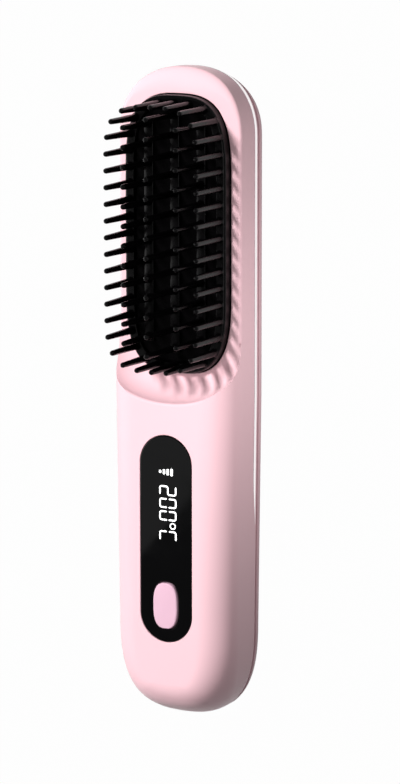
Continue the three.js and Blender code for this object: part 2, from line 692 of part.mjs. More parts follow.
function mainBoard() {
  let board = box(BOARD_SIZE, 0, WINDOW_Y, BOARD_LOW_Z);
  for (const [x, y] of boardPostPlaces) {
    const hole = disc(SMALL_SCREW_RADIUS + CLEAR, x, y, BOARD_LOW_Z - OVERCUT, BOARD_TOP_Z + OVERCUT);
    board = board.subtract(hole);
  }
  return board;
}

// A bar lying along Y with round corners in its cross section
function roundedAlongY(width, depth, corner, lowY, length, lowZ) {
  const x = width / 2 - corner;
  const z = depth / 2 - corner;
  const section = new THREE.Shape();
  section.absarc(x, -z, corner, -Math.PI / 2, 0);
  section.absarc(x, z, corner, 0, Math.PI / 2);
  section.absarc(-x, z, corner, Math.PI / 2, Math.PI);
  section.absarc(-x, -z, corner, Math.PI, 1.5 * Math.PI);
  const geometry = new THREE.ExtrudeGeometry(section, {
    depth: length,
    bevelEnabled: false,
    curveSegments: CORNER_STEPS,
  });
  geometry.rotateX(Math.PI / 2);
  geometry.translate(0, lowY + length, lowZ + depth / 2);
  return toSolid(geometry);
}

function batteryCell() {
  return roundedAlongY(CELL_SIZE.x, CELL_SIZE.z, CELL_CORNER, CELL_LOW_Y, CELL_SIZE.y, CELL_LOW_Z);
}

function chargingPort() {
  const corner = PORT_CORNER_SHARE * PORT_SIZE.z;
  const can = roundedAlongY(PORT_SIZE.x, PORT_SIZE.z, corner, PORT_MOUTH_Y, PORT_SIZE.y, PORT_LOW_Z);
  const mouthDepth = PORT_SIZE.y - 2 * PORT_WALL;
  const hollow = roundedAlongY(
    PORT_SIZE.x - 2 * PORT_WALL,
    PORT_SIZE.z - 2 * PORT_WALL,
    corner - PORT_WALL,
    PORT_MOUTH_Y - OVERCUT,
    mouthDepth + OVERCUT,
    PORT_LOW_Z + PORT_WALL,
  );
  const tongueY = PORT_MOUTH_Y + mouthDepth + PORT_WALL - PORT_TONGUE.y / 2;
  return can.subtract(hollow).add(box(PORT_TONGUE, 0, tongueY, PORT_Z - PORT_TONGUE.z / 2));
}

function lyingRod(radius, length, x, y, z) {
  const geometry = new THREE.CylinderGeometry(radius, radius, length, DISC_STEPS / 2);
  geometry.translate(x, y, z);
  return toSolid(geometry);
}

function lead(points) {
  const curve = new THREE.CatmullRomCurve3(points.map((p) => new THREE.Vector3(...p)));
  const section = new THREE.Shape().absarc(0, 0, LEAD_RADIUS, 0, 2 * Math.PI);
  return toSolid(new THREE.ExtrudeGeometry(section, {
    extrudePath: curve,
    steps: LEAD_STEPS,
    curveSegments: LEAD_CORNER_STEPS,
    bevelEnabled: false,
  }));
}

// A screw driven upwards, its head seated at the given height
function screw({ headRadius, headDepth, shankRadius, length }, x, y, seatZ) {
  const profile = [
    [0, -headDepth],
    [headRadius, -headDepth],
    [headRadius, 0],
    [shankRadius, 0],
    [shankRadius, length],
    [0, length],
  ];
  return turned(profile, x, y, seatZ, DISC_STEPS / 2);
}

const shellScrew = {
  headRadius: SHELL_HEAD_RADIUS,
  headDepth: SHELL_HEAD_DEPTH,
  shankRadius: SHELL_SCREW_RADIUS,
  length: PILLAR_TOP_Z - SHELL_SCREW_SEAT_Z + SHELL_SCREW_GRIP,
};
const smallScrew = {
  headRadius: SMALL_HEAD_RADIUS,
  headDepth: SMALL_HEAD_DEPTH,
  shankRadius: SMALL_SCREW_RADIUS,
  length: SMALL_SCREW_LENGTH,
};
const bracketScrewSeatZ = BRACKET_LOW_Z + SMALL_HEAD_DEPTH;
const plateScrew = { ...smallScrew, length: PLATE_TOP_Z - PLATE_COVER - CLEAR - bracketScrewSeatZ };

add("front_shell", frontShell(), LOOKS.pinkGloss);
add("rear_shell", rearShell(), LOOKS.pinkGloss);
add("display_window", displayWindow(), LOOKS.blackGloss);
add("power_button", powerButton(), LOOKS.pinkButton);
add("bristle_frame", bristleFrame(), LOOKS.blackNylon);
add("heater_plate", heaterPlate(), LOOKS.blackCoat);
const sideCount = HOT_TOOTH_COUNT - 1;
add("heated_teeth_left", heatedTeeth(-HOT_COLUMN_X, sideCount, HOT_SIDE_LENGTH), LOOKS.blackCoat);
add("heated_teeth_middle", heatedTeeth(0, HOT_TOOTH_COUNT, HOT_MIDDLE_LENGTH), LOOKS.blackCoat);
add("heated_teeth_right", heatedTeeth(HOT_COLUMN_X, sideCount, HOT_SIDE_LENGTH), LOOKS.blackCoat);
add("heater_element", box(ELEMENT_SIZE, 0, PAD_MIDDLE_Y, ELEMENT_LOW_Z), LOOKS.ceramic);
add("mica_sheet", box(MICA_SIZE, 0, PAD_MIDDLE_Y, MICA_LOW_Z), LOOKS.mica);
add("heater_bracket", heaterBracket(), LOOKS.beige);
const sensorX = ELEMENT_SIZE.x / 2 + CLEAR + SENSOR_RADIUS;
const sensorZ = PLATE_LOW_Z - SEAT - SENSOR_RADIUS;
add("thermistor", lyingRod(SENSOR_RADIUS, SENSOR_LENGTH, sensorX, PAD_MIDDLE_Y, sensorZ), LOOKS.ceramic);
const fuseZ = BRACKET_LOW_Z - SEAT - FUSE_RADIUS;
add("thermal_fuse", lyingRod(FUSE_RADIUS, FUSE_LENGTH, 0, PAD_MIDDLE_Y, fuseZ), LOOKS.white);
add("main_board", mainBoard(), LOOKS.board);
const screenY = (SCREEN_LOW_Y + SCREEN_HIGH_Y) / 2;
add("display_module", box(SCREEN_SIZE, 0, screenY, BOARD_TOP_Z + SEAT), LOOKS.white);
add("tact_switch", tactSwitch(), LOOKS.steel);
const stem = disc(STEM_RADIUS, 0, BUTTON_Y, STEM_LOW_Z, BUTTON_LOW_Z - SEAT);
add("switch_stem", stem, LOOKS.blackNylon);
add("battery_cell", batteryCell(), LOOKS.foil);
add("battery_pad", box(CELL_PAD_SIZE, 0, CELL_Y, WALL + SEAT), LOOKS.foam);
add("charging_port", chargingPort(), LOOKS.steel);
add("charging_board", box(PORT_BOARD_SIZE, 0, PORT_BOARD_Y, PORT_BOARD_LOW_Z), LOOKS.board);
shellScrewPlaces.forEach(([x, y], i) => {
  add(`shell_screw_${i + 1}`, screw(shellScrew, x, y, SHELL_SCREW_SEAT_Z - SEAT), LOOKS.steel);
});
boardPostPlaces.forEach(([x, y], i) => {
  add(`board_screw_${i + 1}`, screw(smallScrew, x, y, BOARD_LOW_Z - SEAT), LOOKS.steel);
});
ringScrewPlaces.forEach(([x, y], i) => {
  add(`ring_screw_${i + 1}`, screw(smallScrew, x, y, bracketScrewSeatZ - SEAT), LOOKS.steel);
});
plateScrewPlaces.forEach(([x, y], i) => {
  add(`plate_screw_${i + 1}`, screw(plateScrew, x, y, bracketScrewSeatZ - SEAT), LOOKS.steel);
});

const leadTopZ = BOARD_LOW_Z - CLEAR - LEAD_RADIUS;
const boardEndY = WINDOW_Y + BOARD_SIZE.y / 2;
const underBracketZ = BRACKET_LOW_Z - CLEAR - LEAD_RADIUS;
const cellLeadZ = CELL_LOW_Z + CELL_SIZE.z - CELL_CORNER;
[-1, 1].forEach((side, i) => {
  const heaterX = side * HEATER_LEAD_X;
  add(`heater_lead_${i + 1}`, lead([
    [heaterX, PAD_LOW_Y + 4 * LEAD_BEND, underBracketZ],
    [heaterX, PAD_LOW_Y - LEAD_BEND, underBracketZ],
    [heaterX, boardEndY + 2 * LEAD_BEND, (underBracketZ + leadTopZ) / 2],
    [heaterX, boardEndY - LEAD_BEND, leadTopZ],
    [heaterX, boardEndY - 3 * LEAD_BEND, leadTopZ],
  ]), LOOKS.lead);
  const cellX = side * BATTERY_LEAD_X;
  add(`battery_lead_${i + 1}`, lead([
    [cellX, CELL_HIGH_Y + CLEAR, cellLeadZ],
    [cellX, CELL_HIGH_Y + LEAD_LOOP - CLEAR, cellLeadZ + LEAD_RADIUS],
    [cellX, CELL_HIGH_Y + LEAD_LOOP, (cellLeadZ + leadTopZ) / 2],
    [cellX, CELL_HIGH_Y + LEAD_LOOP / 2, leadTopZ - LEAD_RADIUS],
    [cellX, CELL_HIGH_Y - LEAD_LOOP / 2, leadTopZ],
  ]), LOOKS.lead);
});

export default root;
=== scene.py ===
import json
import math

import bmesh
import bpy
from mathutils import Matrix, Vector


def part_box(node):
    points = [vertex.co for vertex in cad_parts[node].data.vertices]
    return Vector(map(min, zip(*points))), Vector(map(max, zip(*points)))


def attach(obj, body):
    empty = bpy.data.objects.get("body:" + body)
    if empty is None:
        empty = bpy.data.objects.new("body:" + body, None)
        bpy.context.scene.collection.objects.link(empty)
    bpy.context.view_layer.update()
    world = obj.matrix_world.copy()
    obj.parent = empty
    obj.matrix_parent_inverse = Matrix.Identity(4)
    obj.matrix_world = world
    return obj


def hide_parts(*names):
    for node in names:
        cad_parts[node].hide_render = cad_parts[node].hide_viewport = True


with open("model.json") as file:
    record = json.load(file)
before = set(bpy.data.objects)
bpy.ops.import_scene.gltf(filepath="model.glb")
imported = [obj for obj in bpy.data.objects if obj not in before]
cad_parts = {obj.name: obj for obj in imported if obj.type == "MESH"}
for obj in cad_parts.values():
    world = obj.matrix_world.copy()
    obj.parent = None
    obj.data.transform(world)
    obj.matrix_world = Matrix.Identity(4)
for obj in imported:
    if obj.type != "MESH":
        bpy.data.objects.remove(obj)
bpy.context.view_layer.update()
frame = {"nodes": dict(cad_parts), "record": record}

bl_info = {
    "name": "Hair Straightening Brush",
    "version": (1, 0, 0),
    "blender": (4, 5, 0),
    "location": "3D View > Sidebar > Brush",
    "description": "Builds a pink cordless hair straightening brush with heated teeth and a display",
    "category": "Object",
}

MM = 0.001
# A gap or an overlap too small to see
HAIR = 0.02 * MM
# How far a tool runs past what it cuts
BEYOND = 6 * MM
# How finely outlines are stepped, and roundings outside and inside
OUTLINE_STEPS = 48
ROUND_STEPS = 14
INNER_STEPS = 4
# The power by which the foot's roundings grow round its end
FOOT_BLEND = 1.15
# The least radius of a rounding, and the least height of the side over the seam
LEAST_ROUND = 0.2 * MM
LEAST_SIDE = 0.5 * MM
# The fullness of an ellipse
ELLIPSE = 2
# Degrees past which an edge stays sharp
SHARP = 32
TOOTH_SHARP = 50

FRONT_LOW, SHELL_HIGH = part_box("front_shell")
SHELL_LOW = Vector((FRONT_LOW.x, FRONT_LOW.y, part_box("rear_shell")[0].z))
PAD_LOW, PAD_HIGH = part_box("heater_bracket")
RING_LOW, RING_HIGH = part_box("bristle_frame")
PLATE_LOW, PLATE_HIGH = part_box("heater_plate")
WINDOW_LOW, WINDOW_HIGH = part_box("display_window")
BUTTON_LOW, BUTTON_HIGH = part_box("power_button")
PORT_LOW, PORT_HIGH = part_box("charging_port")
# How far the pad's flange reaches under the shell, and how far the shown window stays inside its box
FLANGE = 1.4 * MM
WINDOW_TRIM = 0.25 * MM
SCREWS = [f"shell_screw_{i}" for i in range(1, 5)]


# Sizes and colours that a user would change


def length(name, description, default):
    return bpy.props.FloatProperty(name=name, description=description, default=default, unit="LENGTH")


def fullness(name, default):
    description = "2 is an ellipse, more is fuller"
    return bpy.props.FloatProperty(name=name, description=description, default=default)


def colour(name, description, default):
    return bpy.props.FloatVectorProperty(
        name=name, description=description, default=default, size=3, min=0, max=1, subtype="COLOR"
    )


class BodySizes(bpy.types.PropertyGroup):
    """Sizes of the two shells."""

    width: length("Width", "Across the head", SHELL_HIGH.x - SHELL_LOW.x)
    foot_width: length("Foot width", "Across the lower end of the handle", 38.32 * MM)
    end_reach: length("End reach", "How far the head's round end runs along the brush", 20 * MM)
    end_power: fullness("End fullness", 2.25)
    foot_reach: length("Foot reach", "How far the foot's round end runs along the brush", 28.4 * MM)
    foot_power: fullness("Foot fullness", 2.69)
    foot_run: length("Foot rounding", "How far the foot's front edge is rounded inwards", 11.85 * MM)
    foot_drop: length("Foot drop", "How far the foot's front edge is rounded downwards", 18 * MM)
    foot_back: length("Foot back rounding", "Radius of the foot's back edge", 6.4 * MM)
    foot_over: length("Foot overhang", "How far the foot reaches past the frame's box", 0.95 * MM)
    front_round: length("Front rounding", "Radius between the front face and the sides", 9 * MM)
    front_end_round: length("Front end rounding", "The same at the head's end", 12 * MM)
    back_round: length("Back rounding", "Radius between the back face and the sides", 6.2 * MM)
    back_end_round: length("Back end rounding", "The same at the head's end", 10.5 * MM)
    wall: length("Wall", "Thickness of the shells", 2 * MM)
    seam_height: length("Seam height", "Where the two shells meet", 6.5 * MM)
    seam_gap: length("Seam gap", "Width of the gap between the shells", 0.9 * MM)
    seam_round: length("Seam rounding", "Radius of the edges along the seam", 0.25 * MM)
    lip: length("Lip", "How far the inner lip stands back from the surface", 1.1 * MM)
    # The polished line over the seam is a pale strip that paints a highlight, and it narrows to nothing
    # where that highlight ends
    trim_low: length("Trim foot", "Height of the lower edge of the polished line over the seam", 7.7 * MM)
    trim_high: length("Trim top", "Height of the upper edge of the polished line over the seam", 9.1 * MM)
    trim_end: length("Trim end", "Where the polished line has narrowed to nothing", -38 * MM)
    trim_proud: length("Trim rise", "How far the polished line stands out", 0.05 * MM)


class HeadSizes(bpy.types.PropertyGroup):
    """Sizes of the brush head."""

    ledge: length("Ledge height", "Height of the ledge round the pad", 17.4 * MM)
    ledge_round: length("Ledge rounding", "Radius of the ledge's outer edge", 1.1 * MM)
    ledge_end_run: length("End slope", "How far the head's end slopes", 7 * MM)
    ledge_end_drop: length("End drop", "How far the head's end drops", 3 * MM)
    step_flare: length("Step flare", "How far the step reaches past the side", 3 * MM)
    step_reach: length("Step reach", "Length of the step's round end", 24 * MM)
    step_power: fullness("Step fullness", 2.2)
    ramp: length("Ramp", "How far the hollow ramp runs up to the handle", 7.8 * MM)
    rim_round: length("Rim rounding", "Radius at the top of the ramp", 0.9 * MM)
    pad_reach: length("Pad reach", "Length of the pad's round ends", 24 * MM)
    pad_power: fullness("Pad fullness", 3)
    pad_gap: length("Pad gap", "Gap round the pad", 0.3 * MM)
    pad_rise: length("Pad rise", "How far the pad stands above the ledge", 2.9 * MM)
    pad_round: length("Pad rounding", "Radius of the pad's edge", 0.8 * MM)
    ring: length("Ring width", "Width of the ring round the heated plate", 3 * MM)


class ToothSizes(bpy.types.PropertyGroup):
    """Sizes of the teeth."""

    root: length("Root radius", "Radius of a tooth at its root", 1.05 * MM)
    tip: length("Tip radius", "Radius of a tooth at its tip", 0.8 * MM)
    sides: bpy.props.IntProperty(name="Sides", description="Faces round a tooth", default=14, min=6)
    rim_pitch: length("Rim pitch", "Distance between the rim's teeth", 4.77 * MM)
    rim_inset: length("Rim inset", "From the pad's side to the line of rim teeth", 1.85 * MM)
    rim_end_inset: length("Rim end inset", "From the pad's end to the line of rim teeth", 2.4 * MM)
    rim_reach: length("Rim reach", "Length of the round ends of the line of rim teeth", 15.5 * MM)
    rim_power: fullness("Rim fullness", 3.2)
    hot_pitch: length("Heated pitch", "Distance between the heated teeth", 5.6 * MM)


class DisplaySizes(bpy.types.PropertyGroup):
    """Sizes of the display and the button."""

    ledge: length("Window ledge", "Width of the ledge under the window", 1.5 * MM)
    clear: length("Window clearance", "Gap round the window", 0.15 * MM)
    chamfer: length("Window edge", "Rounding of the window's edge", 0.25 * MM)
    button_width: length("Button width", "Across the button", 7.9 * MM)
    button_length: length("Button length", "Along the button", 13.6 * MM)
    button_clear: length("Button clearance", "Gap round the button", 0.25 * MM)
    button_power: fullness("Button fullness", 2.75)
    digit_height: length("Digit height", "Height of the digits", 5.65 * MM)
    digit_width: length("Digit width", "Width of a digit", 2.95 * MM)
    digit_pitch: length("Digit pitch", "From one digit to the next", 3.7 * MM)
    stroke: length("Stroke", "Width of a digit's lines", 0.47 * MM)
    corner: length("Corner", "Radius of the digits' corners", 0.55 * MM)


class Finishes(bpy.types.PropertyGroup):
    """Colours of the visible finishes."""

    shell: colour("Shell", "Pink gloss of the two shells", (0.87, 0.56, 0.61))
    button: colour("Button", "Pink of the button", (0.74, 0.47, 0.58))
    window: colour("Window", "Black of the display window", (0.001, 0.001, 0.0012))
    nylon: colour("Nylon", "Black of the rim teeth and their ring", (0.0012, 0.001, 0.0012))
    coat: colour("Coat", "Black coat of the heated plate and teeth", (0.0012, 0.001, 0.0012))
    reading: colour("Reading", "White light of the digits", (1, 1, 1))


# Outlines and closed forms


def half_end(half_width, reach, power, middle_y, side):
    """Half of a rounded outline: places with their outward directions, counter-clockwise."""
    points = []
    for i in range(OUTLINE_STEPS + 1):
        turn = math.pi * i / OUTLINE_STEPS
        across, along = math.cos(turn), max(math.sin(turn), 0)
        place = Vector((
            side * half_width * math.copysign(abs(across) ** (2 / power), across),
            middle_y + side * reach * along ** (2 / power),
        ))
        outward = Vector((
            side * math.copysign(abs(across) ** (2 - 2 / power), across) / half_width,
            side * along ** (2 - 2 / power) / reach,
        ))
        points.append((place, outward.normalized()))
    return points


def bar_outline(half_width, low_y, high_y, reach, power):
    """The outline of a bar with rounded ends, seen from above."""
    high = half_end(half_width, reach, power, high_y - reach, 1)
    return high + half_end(half_width, reach, power, low_y + reach, -1)


def ring_at(outline, inset, z):
    """One ring of places: the outline drawn in by inset at height z. Both may vary with the direction."""
    ring = []
    for place, outward in outline:
        drawn = inset(outward) if callable(inset) else inset
        height = z(outward) if callable(z) else z
        spot = place - outward * drawn
        ring.append(Vector((spot.x, spot.y, height)))
    return ring


def stacked(rings):
    """A closed bmesh that runs through rings of places, the first and the last one capped."""
    mesh = bmesh.new()
    loop = bmesh.ops.create_circle(mesh, segments=len(rings[0]), radius=1)["verts"]
    order = {vert: i for i, vert in enumerate(loop)}
    for vert, i in order.items():
        vert.co = rings[0][i]
    edges = list(mesh.edges)
    bmesh.ops.edgeloop_fill(mesh, edges=edges)
    for ring in rings[1:]:
        grown = bmesh.ops.extrude_edge_only(mesh, edges=edges)["geom"]
        fresh = {vert for vert in grown if isinstance(vert, bmesh.types.BMVert)}
        following = {}
        for vert in fresh:
            below = next(e.other_vert(vert) for e in vert.link_edges if e.other_vert(vert) in order)
            following[vert] = order[below]
        for vert, i in following.items():
            vert.co = ring[i]
        order = following
        edges = [
            edge for edge in grown
            if isinstance(edge, bmesh.types.BMEdge) and edge.verts[0] in fresh and edge.verts[1] in fresh
        ]
    bmesh.ops.edgeloop_fill(mesh, edges=edges)
    bmesh.ops.recalc_face_normals(mesh, faces=mesh.faces)
    return mesh


def as_object(name, mesh):
    """A new object at the origin that shows the bmesh, which is used up."""
    data = bpy.data.meshes.new(name)
    mesh.to_mesh(data)
    mesh.free()
    piece = bpy.data.objects.new(name, data)
    bpy.context.scene.collection.objects.link(piece)
    return piece


def form(rings):
    return as_object("form", stacked(rings))


def prism(outline, inset, low_z, high_z):
    return form([ring_at(outline, inset, low_z), ring_at(outline, inset, high_z)])


def quarter(steps):
    """Turns from nothing to a right angle."""
    return [math.pi / 2 * i / steps for i in range(steps + 1)]


def edge_rings(outline, inset, radius, top, steps, way=1):
    """Rings of a rounded edge that ends at the height top, drawn in, or out with a way of -1."""
    return [
        ring_at(outline, inset + way * radius * (1 - math.cos(turn)), top - radius * (1 - math.sin(turn)))
        for turn in quarter(steps)
    ]


def flange_rings(outline, reach, low, top):
    """Rings of a flange that stands out by reach, up to where the outline rises from it."""
    return [ring_at(outline, -reach, low), ring_at(outline, -reach, top), ring_at(outline, 0, top)]


def settled(piece):
    """The piece with its modifiers made part of its mesh."""
    bpy.context.view_layer.update()
    whole = piece.evaluated_get(bpy.context.evaluated_depsgraph_get())
    data = bpy.data.meshes.new_from_object(whole)
    old = piece.data
    piece.modifiers.clear()
    piece.data = data
    bpy.data.meshes.remove(old)
    return piece


def combine(piece, tool, operation):
    """The piece joined to, cut by or kept within the tool, which is used up."""
    change = piece.modifiers.new("combine", "BOOLEAN")
    change.operation = operation
    change.solver = "MANIFOLD"
    change.object = tool
    settled(piece)
    data = tool.data
    bpy.data.objects.remove(tool)
    bpy.data.meshes.remove(data)
    if not piece.data.polygons:
        raise RuntimeError(f"nothing is left of {piece.name} after {operation}")
    return piece


def cut(piece, tool):
    return combine(piece, tool, "DIFFERENCE")


def join(piece, tool):
    return combine(piece, tool, "UNION")


def within(piece, tool):
    return combine(piece, tool, "INTERSECT")


def copy_of(piece):
    twin = bpy.data.objects.new("form", piece.data.copy())
    bpy.context.scene.collection.objects.link(twin)
    return twin


def block(width, depth, height, middle=(0, 0, 0), turn=0):
    """A bmesh box round its middle, turned about its upright axis."""
    mesh = bmesh.new()
    place = Matrix.Translation(middle) @ Matrix.Rotation(turn, 4, "Z")
    bmesh.ops.create_cube(mesh, size=1, matrix=place @ Matrix.Diagonal((width, depth, height, 1)))
    return mesh


def rounded(mesh, edges, radius, segments):
    """The bmesh with some of its edges rounded."""
    bmesh.ops.bevel(
        mesh, geom=edges, offset=radius, offset_type="OFFSET", affect="EDGES", segments=segments,
        profile=0.5, material=-1,
    )
    return mesh


def slab(low_z, high_z):
    """A block wider and longer than the brush between two heights."""
    width, depth = 0.2, 0.5
    return as_object("form", block(width, depth, high_z - low_z, (0, 0, (low_z + high_z) / 2)))


def round_bar(low, high, corner):
    """A bar along Y between two corners, with a rounded section."""
    width, depth, height = (end - start for start, end in zip(low, high))
    mesh = block(width, depth, height, [(start + end) / 2 for start, end in zip(low, high)])
    along = [edge for edge in mesh.edges if abs(edge.verts[0].co.y - edge.verts[1].co.y) > depth / 2]
    return as_object("form", rounded(mesh, along, corner, segments=6))


def peg(radius, x, y, low_z, high_z):
    """A round upright peg."""
    mesh = bmesh.new()
    place = Matrix.Translation((x, y, (low_z + high_z) / 2))
    bmesh.ops.create_cone(
        mesh, cap_ends=True, segments=32, radius1=radius, radius2=radius, depth=high_z - low_z,
        matrix=place,
    )
    return as_object("form", mesh)


def spun(profile, sides):
    """A bmesh spun round the upright axis from a profile of (radius, height) pairs that ends on the axis."""
    mesh = bmesh.new()
    line = [mesh.verts.new((radius, 0, height)) for radius, height in profile]
    for low, high in zip(line, line[1:]):
        mesh.edges.new((low, high))
    bmesh.ops.spin(
        mesh, geom=mesh.verts[:] + mesh.edges[:], axis=(0, 0, 1), cent=(0, 0, 0),
        angle=2 * math.pi, steps=sides, use_merge=True,
    )
    bmesh.ops.remove_doubles(mesh, verts=mesh.verts, dist=1e-7)
    bmesh.ops.recalc_face_normals(mesh, faces=mesh.faces)
    return mesh


def placed_copies(pattern, places):
    """One bmesh with the pattern at each place. The pattern is used up."""
    data = bpy.data.meshes.new("pattern")
    pattern.to_mesh(data)
    pattern.free()
    whole = bmesh.new()
    for place in places:
        known = len(whole.verts)
        whole.from_mesh(data)
        whole.verts.ensure_lookup_table()
        bmesh.ops.translate(whole, verts=whole.verts[known:], vec=place)
    bpy.data.meshes.remove(data)
    return whole


def merged(name, pieces):
    """One object from several, which are used up."""
    mesh = bmesh.new()
    for piece in pieces:
        mesh.from_mesh(piece.data)
        data = piece.data
        bpy.data.objects.remove(piece)
        bpy.data.meshes.remove(data)
    return as_object(name, mesh)


def shade(piece, sharp_degrees):
    """Shades the piece smooth apart from its sharp edges."""
    piece.data.shade_smooth()
    piece.data.set_sharp_from_angle(angle=math.radians(sharp_degrees))


def smooth(piece, sharp_degrees=SHARP):
    """Cleans the piece's mesh and shades it smooth, with its edges kept."""
    mesh = bmesh.new()
    mesh.from_mesh(piece.data)
    bmesh.ops.remove_doubles(mesh, verts=mesh.verts, dist=2e-6)
    bmesh.ops.dissolve_degenerate(mesh, edges=mesh.edges, dist=1e-6)
    bare = [edge for edge in mesh.edges if not edge.link_faces]
    bmesh.ops.delete(mesh, geom=bare, context="EDGES")
    mesh.to_mesh(piece.data)
    mesh.free()
    shade(piece, sharp_degrees)
    evened = piece.modifiers.new("even_shading", "WEIGHTED_NORMAL")
    evened.mode = "FACE_AREA"
    evened.keep_sharp = True
    return settled(piece)


def finish_piece(piece, name, body, look, nodes=()):
    """Names the piece, gives it its finish, and ties it to the frame."""
    piece.name = name
    piece.data.name = name
    piece.data.materials.clear()
    piece.data.materials.append(look)
    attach(piece, body)
    if nodes:
        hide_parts(*nodes)
    return piece


# Finishes


def set_inputs(node, values):
    for key, value in values.items():
        node.inputs[key].default_value = value


def add_node(nodes, kind, values=None, **settings):
    """A new shader node with its settings and the values of its inputs."""
    node = nodes.new("ShaderNode" + kind)
    for key, value in settings.items():
        setattr(node, key, value)
    set_inputs(node, values or {})
    return node


def wire(tree, *rows):
    """Links the first node's output to the second node's input in each row."""
    for source, output, target, socket in rows:
        tree.links.new(source.outputs[output], target.inputs[socket])


def new_group(name, inputs, outputs):
    """An empty shader node group with float inputs and outputs."""
    group = bpy.data.node_groups.new(name, "ShaderNodeTree")
    for label, value in inputs.items():
        socket = group.interface.new_socket(label, in_out="INPUT", socket_type="NodeSocketFloat")
        socket.default_value = value
    for label in outputs:
        group.interface.new_socket(label, in_out="OUTPUT", socket_type="NodeSocketFloat")
    return group, group.nodes.new("NodeGroupInput"), group.nodes.new("NodeGroupOutput")


def grain_group():
    """Fine unevenness of a moulded or painted surface, as a height and as a value round one half."""
    known = bpy.data.node_groups.get("surface_grain")
    if known:
        return known
    group, given, out = new_group("surface_grain", {"Scale": 400, "Depth": 0.5}, ["Height", "Variation"])
    nodes = group.nodes
    place = add_node(nodes, "TexCoord")
    fine = add_node(nodes, "TexNoise", {"Detail": 3})
    broad = add_node(nodes, "TexNoise", {"Detail": 2})
    broad_scale = add_node(nodes, "Math", {1: 0.12}, operation="MULTIPLY")
    depth = add_node(nodes, "Math", operation="MULTIPLY")
    wire(
        group,
        (place, "Object", fine, "Vector"),
        (place, "Object", broad, "Vector"),
        (given, "Scale", fine, "Scale"),
        (given, "Scale", broad_scale, 0),
        (broad_scale, 0, broad, "Scale"),
        (fine, "Fac", depth, 0),
        (given, "Depth", depth, 1),
        (depth, 0, out, "Height"),
        (broad, "Fac", out, "Variation"),
    )
    return group


def handling_group():
    """Marks of use: a roughness that soft smudges and a few fine scuffs raise."""
    known = bpy.data.node_groups.get("handling_marks")
    if known:
        return known
    values = {"Roughness": 0.3, "Smudge": 0.05, "Scuff": 0.1}
    group, given, out = new_group("handling_marks", values, ["Roughness"])
    nodes = group.nodes
    place = add_node(nodes, "TexCoord")
    smudge = add_node(nodes, "TexNoise", {"Scale": 70, "Detail": 4, "Distortion": 0.6})
    stretch = add_node(nodes, "Mapping", {"Scale": (900, 60, 500), "Rotation": (0, 0, 0.4)})
    scuff = add_node(nodes, "TexNoise", {"Scale": 1, "Detail": 2})
    soft = add_node(nodes, "MapRange", {"From Min": 0.45, "From Max": 0.7})
    thin = add_node(nodes, "MapRange", {"From Min": 0.66, "From Max": 0.74})
    smudged = add_node(nodes, "Math", operation="MULTIPLY_ADD")
    scuffed = add_node(nodes, "Math", operation="MULTIPLY_ADD")
    wire(
        group,
        (place, "Object", smudge, "Vector"),
        (place, "Object", stretch, "Vector"),
        (stretch, "Vector", scuff, "Vector"),
        (smudge, "Fac", soft, "Value"),
        (scuff, "Fac", thin, "Value"),
        (soft, "Result", smudged, 0),
        (given, "Smudge", smudged, 1),
        (given, "Roughness", smudged, 2),
        (thin, "Result", scuffed, 0),
        (given, "Scuff", scuffed, 1),
        (smudged, 0, scuffed, 2),
        (scuffed, 0, out, "Roughness"),
    )
    return group


# The colour sockets of a Mix node
MIX_FIRST, MIX_SECOND, MIX_RESULT = 6, 7, 2


def finish(
    name, base, roughness, metallic=0.0, specular=0.5, coat=0.0, coat_roughness=0.03,
    grain_scale=900, grain_depth=0.3, bump=0.1, smudge=0.04, scuff=0.06, tone=0.05, glow=0.0,
):
    """A material with its own grain, marks of use and a slight drift of tone."""
    known = bpy.data.materials.get(name)
    if known:
        return known
    material = bpy.data.materials.new(name)
    material.use_nodes = True
    nodes = material.node_tree.nodes
    shader = nodes["Principled BSDF"]
    set_inputs(shader, {
        "Metallic": metallic, "Specular IOR Level": specular, "Coat Weight": coat,
        "Coat Roughness": coat_roughness,
    })
    unevenness = {"Scale": grain_scale, "Depth": grain_depth}
    grain = add_node(nodes, "Group", unevenness, node_tree=grain_group())
    wear = {"Roughness": roughness, "Smudge": smudge, "Scuff": scuff}
    marks = add_node(nodes, "Group", wear, node_tree=handling_group())
    relief = add_node(nodes, "Bump", {"Strength": bump, "Distance": 0.05 * MM})
    drift = add_node(nodes, "MapRange", {"To Min": 1 - tone, "To Max": 1 + tone})
    colours = {"Factor": 1, MIX_FIRST: (*base, 1)}
    tint = add_node(nodes, "Mix", colours, data_type="RGBA", blend_type="MULTIPLY")
    wire(
        material.node_tree,
        (grain, "Variation", drift, "Value"),
        (drift, "Result", tint, MIX_SECOND),
        (tint, MIX_RESULT, shader, "Base Color"),
        (marks, "Roughness", shader, "Roughness"),
        (grain, "Height", relief, "Height"),
        (relief, "Normal", shader, "Normal"),
    )
    if glow:
        set_inputs(shader, {"Emission Color": (*base, 1), "Emission Strength": glow})
    return material


SHELL_SURFACE = {
    "specular": 0.15, "grain_scale": 700, "grain_depth": 0.5, "bump": 0.05, "smudge": 0.02,
    "scuff": 0.0, "tone": 0.01,
}
# The rear shell's share of the front one's colour: a darker copy of the pink that paints the shade along the
# rear shell's curved side
REAR_SHADE_SHARE = 0.85


def shell_finish(colours):
    return finish(
        "pink_gloss", colours.shell, roughness=0.48, coat=0.22, coat_roughness=0.12, **SHELL_SURFACE
    )


# The rear shell's finish: the shell pink darkened, as painted shade on the rear shell
def rear_shaded_finish(colours):
    shaded_pink = [REAR_SHADE_SHARE * part for part in colours.shell]
    return finish("pink_rear_shaded", shaded_pink, roughness=0.45, **SHELL_SURFACE)


